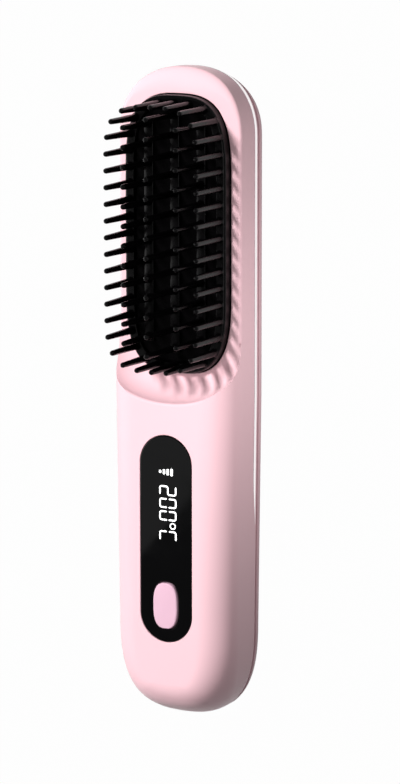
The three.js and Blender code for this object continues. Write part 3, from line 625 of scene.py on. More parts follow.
def nylon_finish(colours):
    return finish(
        "satin_nylon", colours.nylon, roughness=0.24, specular=0.2,
        grain_scale=2500, grain_depth=0.6, bump=0.2, smudge=0.06, scuff=0.06, tone=0.2,
    )


def coat_finish(colours):
    return finish(
        "black_ceramic_coat", colours.coat, roughness=0.45, specular=0.04,
        grain_scale=5000, grain_depth=1.0, bump=0.3, smudge=0.06, scuff=0.08, tone=0.3,
    )


def tooth_finish(colours):
    return finish(
        "black_ceramic_teeth", colours.coat, roughness=0.18, specular=0.2,
        grain_scale=5000, grain_depth=0.5, bump=0.1, smudge=0.05, scuff=0.03, tone=0.2,
    )


# The pieces


def body_outline(sizes, low=None):
    """The outline of the whole brush, or of one whose lower end is given."""
    high = half_end(sizes.width / 2, sizes.end_reach, sizes.end_power, SHELL_HIGH.y - sizes.end_reach, 1)
    if low is None:
        low_y = SHELL_LOW.y - sizes.foot_over + sizes.foot_reach
        low = half_end(sizes.foot_width / 2, sizes.foot_reach, sizes.foot_power, low_y, -1)
    left = (Vector((-sizes.width / 2, 0)), Vector((-1, 0)))
    right = (Vector((sizes.width / 2, 0)), Vector((1, 0)))
    return high + [left] + low + [right]


def pad_outline(head):
    return bar_outline(
        PAD_HIGH.x - FLANGE, PAD_LOW.y + FLANGE, PAD_HIGH.y - FLANGE, head.pad_reach, head.pad_power
    )


def window_outline():
    half_width = WINDOW_HIGH.x - WINDOW_TRIM
    low, high = WINDOW_LOW.y + WINDOW_TRIM, WINDOW_HIGH.y - WINDOW_TRIM
    return bar_outline(half_width, low, high, half_width, ELLIPSE)


def middle_of(low, high):
    """The middle of a box, seen from above."""
    return (low.x + high.x) / 2, (low.y + high.y) / 2


def button_outline(display):
    middle = middle_of(BUTTON_LOW, BUTTON_HIGH)[1]
    half = display.button_length / 2
    return bar_outline(display.button_width / 2, middle - half, middle + half, half, display.button_power)


def blended(side, end, power=2, foot=None):
    """A size that changes from the sides of the outline to its ends, where the foot may have its own."""
    def size(outward):
        if foot is not None and outward.y < 0:
            return side + (foot - side) * abs(outward.y) ** FOOT_BLEND
        return side + (end - side) * abs(outward.y) ** power

    return size


def roundings(sizes):
    """How far the back edge is rounded, and the front edge inwards and downwards, all round."""
    return (
        blended(sizes.back_round, sizes.back_end_round, foot=sizes.foot_back),
        blended(sizes.front_round, sizes.front_end_round, foot=sizes.foot_run),
        blended(sizes.front_round, sizes.front_end_round, foot=sizes.foot_drop),
    )


def shrunk(size, inset):
    return lambda outward: max(size(outward) - inset, LEAST_ROUND)


def upper_rings(outline, inset, high_z, run, drop, steps):
    """Rings of an upper edge that runs in while it rises to high_z."""
    return [
        ring_at(
            outline,
            lambda n, t=turn: inset + run(n) * (1 - math.cos(t)),
            lambda n, t=turn: high_z - drop(n) * (1 - math.sin(t)),
        )
        for turn in quarter(steps)
    ]


def lower_rings(outline, inset, back, seam_low, seam_high, steps):
    """Rings of the round back edge up to seam_low, and from seam_high on to where the side is upright."""
    def turned(outward, share):
        return share * turn_at(back(outward), seam_low - inset)

    def lifted(outward, share):
        top = max(inset + back(outward), seam_high + LEAST_SIDE)
        return seam_high + (top - seam_high) * share

    rings = []
    for i in range(steps + 1):
        rings.append(ring_at(
            outline,
            lambda n, share=i / steps: inset + back(n) * (1 - math.sin(turned(n, share))),
            lambda n, share=i / steps: inset + back(n) * (1 - math.cos(turned(n, share))),
        ))
    for i in range(steps // 2 + 1):
        rings.append(ring_at(
            outline,
            lambda n, share=2 * i / steps: inset + drawn_in(back(n), lifted(n, share) - inset),
            lambda n, share=2 * i / steps: lifted(n, share),
        ))
    return rings


def turn_at(radius, height):
    """The turn of a quarter round at a height above its foot."""
    return math.acos(max(1 - height / radius, 0))


def drawn_in(radius, height):
    """How far a quarter round stands in from the side at a height above its foot."""
    drop = max(radius - height, 0)
    return radius - math.sqrt(radius * radius - drop * drop)


def handle_form(sizes, inset, steps, groove=False):
    """The brush without the step down to its head, and with the seam's groove where that is asked for."""
    outline = body_outline(sizes)
    back, run, drop = (shrunk(size, inset) for size in roundings(sizes))
    half, soft, middle = sizes.seam_gap / 2, sizes.seam_round, sizes.seam_height
    rings = lower_rings(outline, inset, back, middle - half - soft, middle + half + soft, steps)
    if groove:
        def level(z, depth):
            return ring_at(outline, lambda n: drawn_in(back(n), z) + depth, z)

        edge = [(soft * math.sin(turn), soft * (1 - math.cos(turn))) for turn in quarter(4)[1:]]
        below = [level(middle - half - soft + rise, depth) for rise, depth in edge]
        above = [level(middle + half + soft - rise, depth) for rise, depth in reversed(edge)]
        inside = [level(middle - half, sizes.lip), level(middle + half, sizes.lip)]
        rings[steps + 1:steps + 1] = below + inside + above
    rings += upper_rings(outline, inset, SHELL_HIGH.z - inset, run, drop, steps)
    return form(rings)


# The head's upper part under the handle: where its round lower end starts, the end's length, and how
# much narrower it is there
HEAD_START, HEAD_START_REACH, HEAD_START_INSET = -12 * MM, 8 * MM, 1 * MM
# How barely the head's upper part stands out of the sides, and the bevel that it starts with
HEAD_PROUD, HEAD_BEVEL = 0.003 * MM, 1 * MM


def head_form(sizes, head, inset, steps):
    """The upper part of the head, barely proud of its sides, and inside them where the handle starts."""
    half_width = sizes.width / 2 - HEAD_START_INSET
    outline = body_outline(sizes, half_end(half_width, HEAD_START_REACH, ELLIPSE, HEAD_START, -1))
    run = shrunk(blended(head.ledge_round, head.ledge_end_run, power=3), inset)
    drop = shrunk(blended(head.ledge_round, head.ledge_end_drop, power=3), inset)
    foot = head.ledge - head.ledge_end_drop - HEAD_BEVEL
    proud = inset - HEAD_PROUD
    rings = [ring_at(outline, inset + HEAD_BEVEL, foot), ring_at(outline, proud, foot + HAIR / 2)]
    return form(rings + upper_rings(outline, proud, head.ledge - inset, run, drop, steps))


# How far the step starts below the pad, and how far its foot is sunk in the ledge
STEP_GAP, STEP_SUNK = 1 * MM, 0.2 * MM


def step_form(sizes, head, inset, steps):
    """Everything above the ledge, out to the hollow ramp and its soft rim."""
    outline = bar_outline(
        sizes.width / 2 + head.step_flare, PAD_LOW.y + FLANGE - STEP_GAP, SHELL_HIGH.y + head.step_reach,
        head.step_reach, head.step_power,
    )
    foot = head.ledge - inset
    soft = head.rim_round
    rise = SHELL_HIGH.z - head.ledge - soft
    run = head.ramp - soft
    rings = [ring_at(outline, -inset, foot - head.ledge_end_drop - STEP_SUNK)]
    rings += [
        ring_at(outline, -inset - run * math.sin(turn), foot + rise * (1 - math.cos(turn)))
        for turn in quarter(steps)
    ]
    rings += [
        ring_at(outline, -inset - run - soft * (1 - math.cos(turn)), foot + rise + soft * math.sin(turn))
        for turn in quarter(steps)[1:]
    ]
    rings.append(ring_at(outline, -inset - head.ramp, SHELL_HIGH.z + BEYOND))
    return form(rings)


def whole_form(sizes, head, inset, steps, groove=False):
    whole = cut(handle_form(sizes, inset, steps, groove), step_form(sizes, head, inset, steps))
    return join(whole, head_form(sizes, head, inset, steps))


def rim_cutter(outline, clear, soft, low_z, surface_z, steps=5):
    """Cuts an opening whose edge at surface_z is rounded."""
    return form([
        ring_at(outline, -clear, low_z),
        *edge_rings(outline, -clear, soft, surface_z, steps, way=-1),
        ring_at(outline, -clear - soft, surface_z + 2 * BEYOND),
    ])


# The lip's rise over the seam, its root below it and its clearance in the front shell's rebate
LIP_RISE, LIP_ROOT, LIP_CLEAR = 1.4 * MM, 2 * MM, 0.3 * MM
# Radii of the rear shell's pillars and the front shell's bosses, and the gap between the two
PILLAR, BOSS, BOSS_GAP = 3.6 * MM, 2.7 * MM, 0.05 * MM
# Radii of the bores for a screw's head, shank and thread, and the height of the head's bore
HEAD_BORE, SHANK_BORE, THREAD_BORE, HEAD_BORE_TOP = 2.3 * MM, 1.2 * MM, 0.95 * MM, 5.4 * MM
# Radii of the rims round the pad and the window, and where the pad's opening starts
PAD_RIM, WINDOW_RIM, PAD_OPENING = 0.3 * MM, 0.25 * MM, 9 * MM
# The charging port's corners, the opening's margin round it and its depth past the wall
PORT_CORNER, PORT_MARGIN, PORT_DEPTH = 1.55 * MM, 0.3 * MM, 3 * MM


class BRUSH_OT_shells(bpy.types.Operator):
    """Build the front and rear shells"""

    bl_idname = "brush.shells"
    bl_label = "Shells"

    def execute(self, context):
        scene = context.scene
        sizes, head, display = scene.brush_body, scene.brush_head, scene.brush_display
        whole = whole_form(sizes, head, 0, ROUND_STEPS, groove=True)
        whole = cut(whole, whole_form(sizes, head, sizes.wall, INNER_STEPS))
        half, middle = sizes.seam_gap / 2, sizes.seam_height
        lip_top = middle + LIP_RISE
        front = within(copy_of(whole), slab(middle + half, SHELL_HIGH.z + BEYOND))
        rebate = handle_form(sizes, sizes.lip - LIP_CLEAR, INNER_STEPS)
        front = cut(front, within(rebate, slab(middle, lip_top)))
        front = cut(front, rim_cutter(pad_outline(head), head.pad_gap, PAD_RIM, PAD_OPENING, head.ledge))
        window = window_outline()
        frame_low = WINDOW_LOW.z - display.ledge
        front = join(front, prism(window, -display.ledge, frame_low, WINDOW_LOW.z - HAIR))
        seat = WINDOW_LOW.z - HAIR / 2
        front = cut(front, rim_cutter(window, display.clear, WINDOW_RIM, seat, SHELL_HIGH.z))
        front = cut(front, prism(window, display.ledge, frame_low - BEYOND, WINDOW_HIGH.z))
        rear = within(whole, slab(-BEYOND, middle - half))
        lip = within(handle_form(sizes, sizes.lip, INNER_STEPS), slab(middle - LIP_ROOT, lip_top))
        rear = join(rear, cut(lip, handle_form(sizes, sizes.wall - HAIR, INNER_STEPS)))
        for node in SCREWS:
            low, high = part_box(node)
            x, y = middle_of(low, high)
            pillar = within(peg(PILLAR, x, y, 0, lip_top), handle_form(sizes, HAIR, INNER_STEPS))
            rear = join(rear, pillar)
            rear = cut(rear, peg(HEAD_BORE, x, y, -BEYOND, HEAD_BORE_TOP))
            rear = cut(rear, peg(SHANK_BORE, x, y, 0, lip_top + BEYOND))
            front = join(front, peg(BOSS, x, y, lip_top + BOSS_GAP, head.ledge - sizes.wall / 2))
            front = cut(front, peg(THREAD_BORE, x, y, 0, high.z))
        front = cut(front, round_bar(
            (PORT_LOW.x - PORT_MARGIN, SHELL_LOW.y - BEYOND, PORT_LOW.z - PORT_MARGIN),
            (PORT_HIGH.x + PORT_MARGIN, SHELL_LOW.y + sizes.wall + PORT_DEPTH, PORT_HIGH.z + PORT_MARGIN),
            PORT_CORNER,
        ))
        looks = shell_finish(scene.brush_finishes), rear_shaded_finish(scene.brush_finishes)
        for piece, node, look in zip((front, rear), ("front_shell", "rear_shell"), looks):
            finish_piece(smooth(piece), node + "_skin", "body", look, [node])
        return {"FINISHED"}


def finely(outline, gap):
    """The outline with further places where its places lie more than a gap apart."""
    places = []
    for (start, before), (end, after) in zip(outline, outline[1:] + outline[:1]):
        count = int((end - start).length / gap) + 1
        for i in range(count):
            places.append((start.lerp(end, i / count), before.lerp(after, i / count).normalized()))
    return places


def drawn_top(run, drop, height):
    """How far an upper edge has run in at a height over where it starts."""
    rise = min(max(height / drop, 0), 1)
    return run * (1 - math.sqrt(1 - rise * rise))


# The polished line, a pale strip that paints the highlight along the front shell's lower edge: its places'
# spacing, its taper's length and narrowest share, its depth and end
TRIM_PITCH, TRIM_TAPER, TRIM_LEAST, TRIM_DEPTH, TRIM_CORNER = 4 * MM, 12 * MM, 0.02, 1.2 * MM, 1 * MM
# Where the line's edges turn in, as a share of its width, and a length that reaches past the brush
TRIM_SOFT, AROUND = 0.05, 0.1


class BRUSH_OT_trim(bpy.types.Operator):
    """Build the polished line along the seam, a pale strip that paints the highlight on the front shell's
    lower edge
    """

    bl_idname = "brush.trim"
    bl_label = "Seam trim"

    def execute(self, context):
        sizes = context.scene.brush_body
        outline = finely(body_outline(sizes), TRIM_PITCH)
        back, run, drop = roundings(sizes)

        def level(rise, inset):
            ring = []
            for place, outward in outline:
                share = min(max((place.y - sizes.trim_end) / TRIM_TAPER, TRIM_LEAST), 1)
                z = sizes.trim_low + (sizes.trim_high - sizes.trim_low) * share * rise
                top = drawn_top(run(outward), drop(outward), z - SHELL_HIGH.z + drop(outward))
                spot = place - outward * (max(drawn_in(back(outward), z), top) + inset)
                ring.append(Vector((spot.x, spot.y, z)))
            return ring

        proud = -sizes.trim_proud
        edges = ((0, HAIR), (TRIM_SOFT, proud), (1 - TRIM_SOFT, proud), (1, HAIR))
        band = form([level(rise, inset) for rise, inset in edges])
        band = cut(band, prism(outline, TRIM_DEPTH, sizes.trim_low - BEYOND, sizes.trim_high + BEYOND))
        low, high = (-AROUND, sizes.trim_end, -AROUND), (AROUND, 2 * AROUND, AROUND)
        band = within(band, round_bar(low, high, TRIM_CORNER))
        # A pale metal finish, so that the strip shows as the painted highlight along the seam
        look = finish(
            "polished_highlight_trim", (0.93, 0.88, 0.89), roughness=0.16, metallic=1.0, grain_scale=1200,
            grain_depth=0.2, bump=0.02, smudge=0.03, scuff=0.0, tone=0.01,
        )
        finish_piece(smooth(band), "seam_highlight_trim", "body", look)
        return {"FINISHED"}


# Lines of each sign, in halves of its width and height from its middle
SIGNS = {
    "2": [[(1, -1), (-1, -1), (-1, 0), (1, 0), (1, 1), (-1, 1)]],
    "0": [[(-1, 0.1), (-1, 1), (1, 1), (1, 0.1)], [(-1, -0.1), (-1, -1), (1, -1), (1, -0.1)]],
    "C": [[(-1, 0.1), (-1, 1), (1, 1)], [(-1, -0.1), (-1, -1), (1, -1)]],
}
# A sign's lines: their half width at the ends, the shift of their start, and where the ends narrow
LINE_TIP, LINE_SHIFT, LINE_NARROW = 0.25, 0.25, 0.15


def rounded_path(corners, radius):
    """Places along a line through corners that are rounded off."""
    path = [corners[0]]
    for before, corner, after in zip(corners, corners[1:], corners[2:]):
        back, ahead = (before - corner).normalized(), (after - corner).normalized()
        centre = corner + (back + ahead) * radius
        for turn in quarter(4):
            path.append(centre - ahead * radius * math.cos(turn) - back * radius * math.sin(turn))
    return path + [corners[-1]]


def ribbon(path, width, thickness):
    """A flat line of even width along a path, narrowed at its two ends, as a closed bmesh."""
    last = len(path) - 1
    sides = []
    for i, spot in enumerate(path):
        along = (path[min(i + 1, last)] - path[max(i - 1, 0)]).normalized()
        share = LINE_TIP if i in (0, last) else 0.5
        sides.append(Vector((-along.y, along.x)) * width * share)
    mesh = bmesh.new()
    line = [mesh.verts.new((*(spot + side), 0)) for spot, side in zip(path, sides)]
    edges = [mesh.edges.new(pair) for pair in zip(line, line[1:])]
    grown = bmesh.ops.extrude_edge_only(mesh, edges=edges)["geom"]
    fresh = {item for item in grown if isinstance(item, bmesh.types.BMVert)}
    for vert, spot, side in zip(line, path, sides):
        twin = next(e.other_vert(vert) for e in vert.link_edges if e.other_vert(vert) in fresh)
        twin.co = (*(spot - side), 0)
    grown = bmesh.ops.extrude_face_region(mesh, geom=mesh.faces[:])["geom"]
    top = [item for item in grown if isinstance(item, bmesh.types.BMVert)]
    bmesh.ops.translate(mesh, verts=top, vec=(0, 0, thickness))
    bmesh.ops.recalc_face_normals(mesh, faces=mesh.faces)
    return mesh


def sign_pieces(display, sign, place):
    """The lines of one digit or letter as objects."""
    half_width = (display.digit_width - display.stroke) / 2
    half_height = (display.digit_height - display.stroke) / 2
    nudge = LINE_SHIFT * display.stroke
    pieces = []
    for line in SIGNS[sign]:
        path = rounded_path([Vector((x * half_width, y * half_height)) for x, y in line], display.corner)
        path[0] += (path[1] - path[0]).normalized() * nudge
        near, far = path[0].lerp(path[1], LINE_NARROW), path[-2].lerp(path[-1], 1 - LINE_NARROW)
        mesh = ribbon([path[0], near, *path[1:-1], far, path[-1]], display.stroke, INK)
        bmesh.ops.transform(mesh, matrix=place, verts=mesh.verts)
        pieces.append(as_object("line", mesh))
    return pieces


def shifted(outline, x, y):
    return [(place + Vector((x, y)), outward) for place, outward in outline]


# The thickness of the reading's lines, their height over the lens and the middle of the first digit
INK, INK_LIFT = 0.02 * MM, 0.002 * MM
READING_PLACE = (0.72 * MM, -26.4 * MM)
# Each sign with its place along the reading, in digit pitches
READING = (("2", 0), ("0", 1), ("0", 2), ("C", 3.6))
# The degree sign: its place in digit pitches and its height, and its inner and outer radius
DEGREE_ALONG, DEGREE_UP, DEGREE_INNER, DEGREE_OUTER = 2.8, 1.6 * MM, 0.66 * MM, 1.0 * MM
# The level bars: their lengths, half their width, their round ends and the place of the first
LEVELS = (0.95 * MM, 1.5 * MM, 1.85 * MM, 2.2 * MM)
LEVEL_HALF, LEVEL_REACH, LEVEL_POWER = 0.38 * MM, 0.35 * MM, 2.6
LEVEL_X, LEVEL_Y, LEVEL_PITCH = -1.78 * MM, -20.9 * MM, 1.26 * MM
# The radius of the rim round the button
BUTTON_RIM = 0.3 * MM


class BRUSH_OT_display(bpy.types.Operator):
    """Build the display window and its reading"""

    bl_idname = "brush.display"
    bl_label = "Display"

    def execute(self, context):
        display, colours = context.scene.brush_display, context.scene.brush_finishes
        outline = window_outline()
        low, high = WINDOW_LOW.z, WINDOW_HIGH.z
        lens = form([ring_at(outline, 0, low), *edge_rings(outline, 0, display.chamfer, high, steps=5)])
        opening = button_outline(display)
        lens = cut(lens, rim_cutter(opening, display.button_clear, BUTTON_RIM, low - BEYOND, high))
        look = finish(
            "piano_black", colours.window, roughness=0.03, specular=0.25, grain_scale=300,
            grain_depth=0.2, bump=0.02, smudge=0.05, scuff=0.03, tone=0.1,
        )
        finish_piece(smooth(lens), "window_lens", "body", look, ["display_window"])
        z = high + INK_LIFT
        turned = Matrix.Translation((*READING_PLACE, z)) @ Matrix.Rotation(-math.pi / 2, 4, "Z")
        pieces = []
        for sign, along in READING:
            shift = Matrix.Translation((along * display.digit_pitch, 0, 0))
            pieces += sign_pieces(display, sign, turned @ shift)
        section = [(DEGREE_INNER, 0), (DEGREE_OUTER, 0), (DEGREE_OUTER, INK), (DEGREE_INNER, INK)]
        ring = spun(section + section[:1], sides=24)
        degree = turned @ Matrix.Translation((DEGREE_ALONG * display.digit_pitch, DEGREE_UP, 0))
        bmesh.ops.transform(ring, matrix=degree, verts=ring.verts)
        pieces.append(as_object("ring", ring))
        for i, height in enumerate(LEVELS):
            half = height / 2
            bar = bar_outline(LEVEL_HALF, -half, half, LEVEL_REACH if i else half, LEVEL_POWER)
            pieces.append(prism(shifted(bar, LEVEL_X + LEVEL_PITCH * i, LEVEL_Y), 0, z, z + INK))
        light = finish(
            "reading_light", colours.reading, roughness=0.4, grain_scale=3000, grain_depth=0.1,
            bump=0.01, smudge=0.02, scuff=0.0, tone=0.02, glow=0.9,
        )
        finish_piece(merged("reading", pieces), "display_reading", "body", light)
        return {"FINISHED"}


# The button's rise over its solid, its edge's radius, its crown, its flange and the flange's gap
BUTTON_RISE, BUTTON_SOFT, BUTTON_CROWN = 0.4 * MM, 0.45 * MM, 0.12 * MM
BUTTON_FLANGE, BUTTON_FLANGE_GAP = 1.1 * MM, 0.3 * MM
# How near the middle each ring of the crown lies
CROWN_SHARES = (0.2, 0.4, 0.6, 0.8, 0.95)


class BRUSH_OT_button(bpy.types.Operator):
    """Build the power button"""

    bl_idname = "brush.button"
    bl_label = "Button"

    def execute(self, context):
        display, colours = context.scene.brush_display, context.scene.brush_finishes
        outline = button_outline(display)
        top = BUTTON_HIGH.z + BUTTON_RISE
        rings = flange_rings(outline, BUTTON_FLANGE, BUTTON_LOW.z, WINDOW_LOW.z - BUTTON_FLANGE_GAP)
        rings += edge_rings(outline, 0, BUTTON_SOFT, top - BUTTON_CROWN, steps=6)
        middle = Vector((0, middle_of(BUTTON_LOW, BUTTON_HIGH)[1]))
        edge = rings[-1]
        for share in CROWN_SHARES:
            z = top - BUTTON_CROWN * (1 - share) ** 2
            rings.append([Vector((*middle.lerp(spot.xy, 1 - share), z)) for spot in edge])
        look = finish(
            "pink_satin", colours.button, roughness=0.28, coat=0.3, coat_roughness=0.08,
            grain_scale=1500, grain_depth=0.5, bump=0.08, smudge=0.06, scuff=0.06, tone=0.02,
        )
        finish_piece(smooth(form(rings)), "button_cap", "button", look, ["power_button"])
        return {"FINISHED"}


# How deep a tooth is sunk in its base, and its flare there and a little above it
TOOTH_SUNK, TOOTH_FLARE, TOOTH_NECK, TOOTH_NECK_UP = 0.3 * MM, 1.3, 1.04, 0.35 * MM


def tooth(sizes, tooth_length):
    """One tooth on the origin, flared a little where it leaves its base."""
    root, tip = sizes.root, sizes.tip
    profile = [
        (0, -TOOTH_SUNK), (root * TOOTH_FLARE, -TOOTH_SUNK), (root * TOOTH_FLARE, 0),
        (root * TOOTH_NECK, TOOTH_NECK_UP), ((root + tip) / 2, tooth_length / 2),
    ]
    for turn in quarter(3)[:-1]:
        profile.append((tip * math.cos(turn), tooth_length - tip + tip * math.sin(turn)))
    return spun(profile + [(0, tooth_length)], sizes.sides)


def teeth_at(places, sizes, tooth_length):
    return smooth(as_object("teeth", placed_copies(tooth(sizes, tooth_length), places)), TOOTH_SHARP)


def spread(outline, pitch):
    """An even count of places at even spacing along an outline, the first at the middle of its high end."""
    start = OUTLINE_STEPS // 2
    loop = [place for place, _ in outline[start:] + outline[:start + 1]]
    lengths = [(b - a).length for a, b in zip(loop, loop[1:])]
    count = 2 * round(sum(lengths) / pitch / 2)
    places = []
    for i in range(count):
        left = i * sum(lengths) / count
        for start, end, span in zip(loop, loop[1:], lengths):
            if left <= span:
                places.append(start.lerp(end, left / span))
                break
            left -= span
    return places


# The height of the ring's flange, and the radius of its inner edge
RING_FLANGE, RING_SOFT = 1.6 * MM, 0.3 * MM


class BRUSH_OT_bristles(bpy.types.Operator):
    """Build the ring of rim teeth"""

    bl_idname = "brush.bristles"
    bl_label = "Rim teeth"

    def execute(self, context):
        head, sizes = context.scene.brush_head, context.scene.brush_teeth
        outline = pad_outline(head)
        low, top = RING_LOW.z, head.ledge + head.pad_rise
        rings = flange_rings(outline, FLANGE, low, low + RING_FLANGE)
        ring = form(rings + edge_rings(outline, 0, head.pad_round, top, steps=6))
        ring = smooth(cut(ring, rim_cutter(outline, -head.ring, RING_SOFT, low - BEYOND, top, steps=4)))
        line = bar_outline(
            outline[0][0].x - sizes.rim_inset, PAD_LOW.y + FLANGE + sizes.rim_end_inset,
            PAD_HIGH.y - FLANGE - sizes.rim_end_inset, sizes.rim_reach, sizes.rim_power,
        )
        places = [(spot.x, spot.y, top) for spot in spread(line, sizes.rim_pitch)]
        piece = merged("bristles", [ring, teeth_at(places, sizes, RING_HIGH.z - top)])
        shade(piece, TOOTH_SHARP)
        look = nylon_finish(context.scene.brush_finishes)
        finish_piece(piece, "rim_teeth", "body", look, ["bristle_frame"])
        return {"FINISHED"}


# The bar under a row of heated teeth: its width and height, and how much longer it is than the row
BAR_WIDTH, BAR_HEIGHT, BAR_ENDS = 3 * MM, 0.8 * MM, 3 * MM
# The radius of the edges of the bars and the heated plate
HOT_SOFT = 0.25 * MM


class BRUSH_OT_heater(bpy.types.Operator):
    """Build the heated plate and its three rows of teeth"""

    bl_idname = "brush.heater"
    bl_label = "Heated teeth"

    def execute(self, context):
        head, sizes = context.scene.brush_head, context.scene.brush_teeth
        look = coat_finish(context.scene.brush_finishes)
        tooth_look = tooth_finish(context.scene.brush_finishes)
        outline = pad_outline(head)
        inset = head.ring + head.pad_gap
        rings = [ring_at(outline, inset, PLATE_LOW.z)]
        plate = smooth(form(rings + edge_rings(outline, inset, HOT_SOFT, PLATE_HIGH.z, steps=4)))
        finish_piece(plate, "hot_plate", "body", look, ["heater_plate"])
        for side in ("left", "middle", "right"):
            node = f"heated_teeth_{side}"
            low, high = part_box(node)
            x, middle = middle_of(low, high)
            base = low.z + BAR_HEIGHT
            count = round((high.y - low.y - BAR_ENDS) / sizes.hot_pitch) + 1
            places = [(x, middle + (i - (count - 1) / 2) * sizes.hot_pitch, base) for i in range(count)]
            teeth = teeth_at(places, sizes, high.z - base)
            bar = block(BAR_WIDTH, high.y - low.y, BAR_HEIGHT, (x, middle, base - BAR_HEIGHT / 2))
            bar = as_object("bar", rounded(bar, bar.edges[:], HOT_SOFT, segments=3))
            piece = merged("row", [teeth, bar])
            shade(piece, TOOTH_SHARP)
            finish_piece(piece, f"hot_teeth_{side}", "body", tooth_look, [node])
        return {"FINISHED"}


def steel_finish():
    base, roughness, metallic = INNER_FINISHES["steel"]
    return finish(
        "zinc_steel", base, roughness, metallic, grain_scale=2600, grain_depth=0.8, bump=0.2,
        smudge=0.1, scuff=0.15, tone=0.08,
    )


# A screw: radii and heights of its head's profile, its shank, its tapered tip and its cross recess
SCREW_HEAD = ((0, 0), (1.3, 0.05), (1.75, 0.3), (2, 0.75), (2, 1.4))
SHANK, TIP, TIP_LENGTH = 0.9 * MM, 0.3 * MM, 1.2 * MM
SLOT_WIDTH, SLOT_LENGTH, SLOT_DEPTH, SLOT_TURN = 0.5 * MM, 2.3 * MM, 1.8 * MM, 0.4


class BRUSH_OT_screws(bpy.types.Operator):
    """Build the four screws that hold the shells together"""

    bl_idname = "brush.screws"
    bl_label = "Shell screws"

    def execute(self, context):
        look = steel_finish()
        for i, node in enumerate(SCREWS, 1):
            low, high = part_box(node)
            rise = high.z - low.z
            profile = [(radius * MM, height * MM) for radius, height in SCREW_HEAD]
            profile += [(SHANK, profile[-1][1]), (SHANK, rise - TIP_LENGTH), (TIP, rise), (0, rise)]
            screw = as_object("screw", spun(profile, sides=32))
            for width, depth in ((SLOT_WIDTH, SLOT_LENGTH), (SLOT_LENGTH, SLOT_WIDTH)):
                slot = block(width, depth, SLOT_DEPTH, turn=SLOT_TURN * i)
                screw = cut(screw, as_object("slot", slot))
            screw.data.transform(Matrix.Translation((*middle_of(low, high), low.z)))
            finish_piece(smooth(screw), node + "_shown", "body", look, [node])
        return {"FINISHED"}


# The charging port's sheet, and its tongue's width, length, height, place in front of the back and edge
PORT_SHEET = 0.35 * MM
TONGUE_WIDTH, TONGUE_LENGTH, TONGUE_HEIGHT = 6.7 * MM, 5 * MM, 0.7 * MM
TONGUE_BACK, TONGUE_SOFT = 2.45 * MM, 0.15 * MM


class BRUSH_OT_port(bpy.types.Operator):
    """Build the charging port in the foot of the handle"""

    bl_idname = "brush.port"
    bl_label = "Charging port"

    def execute(self, context):
        low, high = PORT_LOW, PORT_HIGH
        inner_low = (low.x + PORT_SHEET, low.y - BEYOND, low.z + PORT_SHEET)
        inner_high = [end - PORT_SHEET for end in high]
        can = round_bar(low, high, PORT_CORNER)
        can = cut(can, round_bar(inner_low, inner_high, PORT_CORNER - PORT_SHEET))
        finish_piece(smooth(can), "port_can", "body", steel_finish(), ["charging_port"])
        place = (0, high.y - PORT_SHEET - TONGUE_BACK, (low.z + high.z) / 2)
        tongue = block(TONGUE_WIDTH, TONGUE_LENGTH, TONGUE_HEIGHT, place)
        tongue = as_object("tongue", rounded(tongue, tongue.edges[:], TONGUE_SOFT, segments=3))
        look = nylon_finish(context.scene.brush_finishes)
        finish_piece(smooth(tongue), "port_tongue", "body", look)
        return {"FINISHED"}


# Colour, roughness and metallic of each material of the inner pieces
INNER_FINISHES = {
    "alumina": ((0.82, 0.80, 0.74), 0.55, 0.0),
    "mica": ((0.42, 0.28, 0.12), 0.4, 0.1),
    "heatproof_plastic": ((0.6, 0.52, 0.38), 0.6, 0.0),
    "circuit_board": ((0.015, 0.12, 0.045), 0.35, 0.0),
    "white_plastic": ((0.78, 0.78, 0.76), 0.45, 0.0),
    "steel": ((0.55, 0.56, 0.58), 0.3, 1.0),
    "cell_foil": ((0.42, 0.44, 0.47), 0.38, 0.9),
    "foam": ((0.03, 0.03, 0.034), 0.95, 0.0),
    "lead_red": ((0.42, 0.015, 0.012), 0.42, 0.0),
    "black_nylon": ((0.006, 0.005, 0.006), 0.4, 0.0),
}


class BRUSH_OT_inside(bpy.types.Operator):
    """Give the pieces inside the shells their finishes"""

    bl_idname = "brush.inside"
    bl_label = "Inner pieces"

    def execute(self, context):
        for part in frame["record"]["subparts"]:
            node, slot = part["node"], part["material_slot"]
            if slot not in INNER_FINISHES or node == "bristle_frame":
                continue
            base, roughness, metallic = INNER_FINISHES[slot]
            look = finish(
                "inner_" + slot, base, roughness, metallic, grain_scale=1800, bump=0.25, tone=0.12
            )
            shown = frame["nodes"][node].data.materials
            shown.clear()
            shown.append(look)
        return {"FINISHED"}


# Each lamp's way from the brush, its distance in metres, its power in watts, its width and height, its turn
LAMPS = (
    ("key", (-0.37, 0.54, 1), 1.2, 16.5, (0.2, 0.2), 0),
    ("left_fill", (-1, 0, 0.45), 1.0, 3.0, (0.5, 1.0), 0),
    ("foot_fill", (-0.7, -0.9, 0.8), 1.1, 0.6, (0.5, 0.5), 0),
    ("head_fill", (0.7, 0.8, 0.6), 1.1, 0.5, (0.5, 0.5), 0),
    ("top_fill", (0.3, 0, 1), 1.2, 1.2, (0.6, 0.6), 0),
    ("window_sheen", (-0.5108, -0.2091, 0.8339), 0.857, 0.026, (0.14, 0.128), 2.088),
    ("right_fill", (1, 0, 0.4), 0.17, 0.026, (0.04, 0.04), 0),
    ("glint", (-0.37, 0.54, 1), 1.2, 0.4, (0.1, 0.1), 0),
)
# The width of the right fill's beam, and how far up the brush that lamp is moved
SIDE_BEAM = math.radians(80)
SIDE_BEAM_SHIFT = 20 * MM
WHITE = (1, 1, 1, 1)
AMBIENT = 0.12
# The floor: half its side, its depth below the brush, its grey and the share of it that shows as white
FLOOR_HALF, FLOOR_DEPTH, FLOOR_GREY, FLOOR_WHITE = 2, 0.05 * MM, 0.12, 0.985
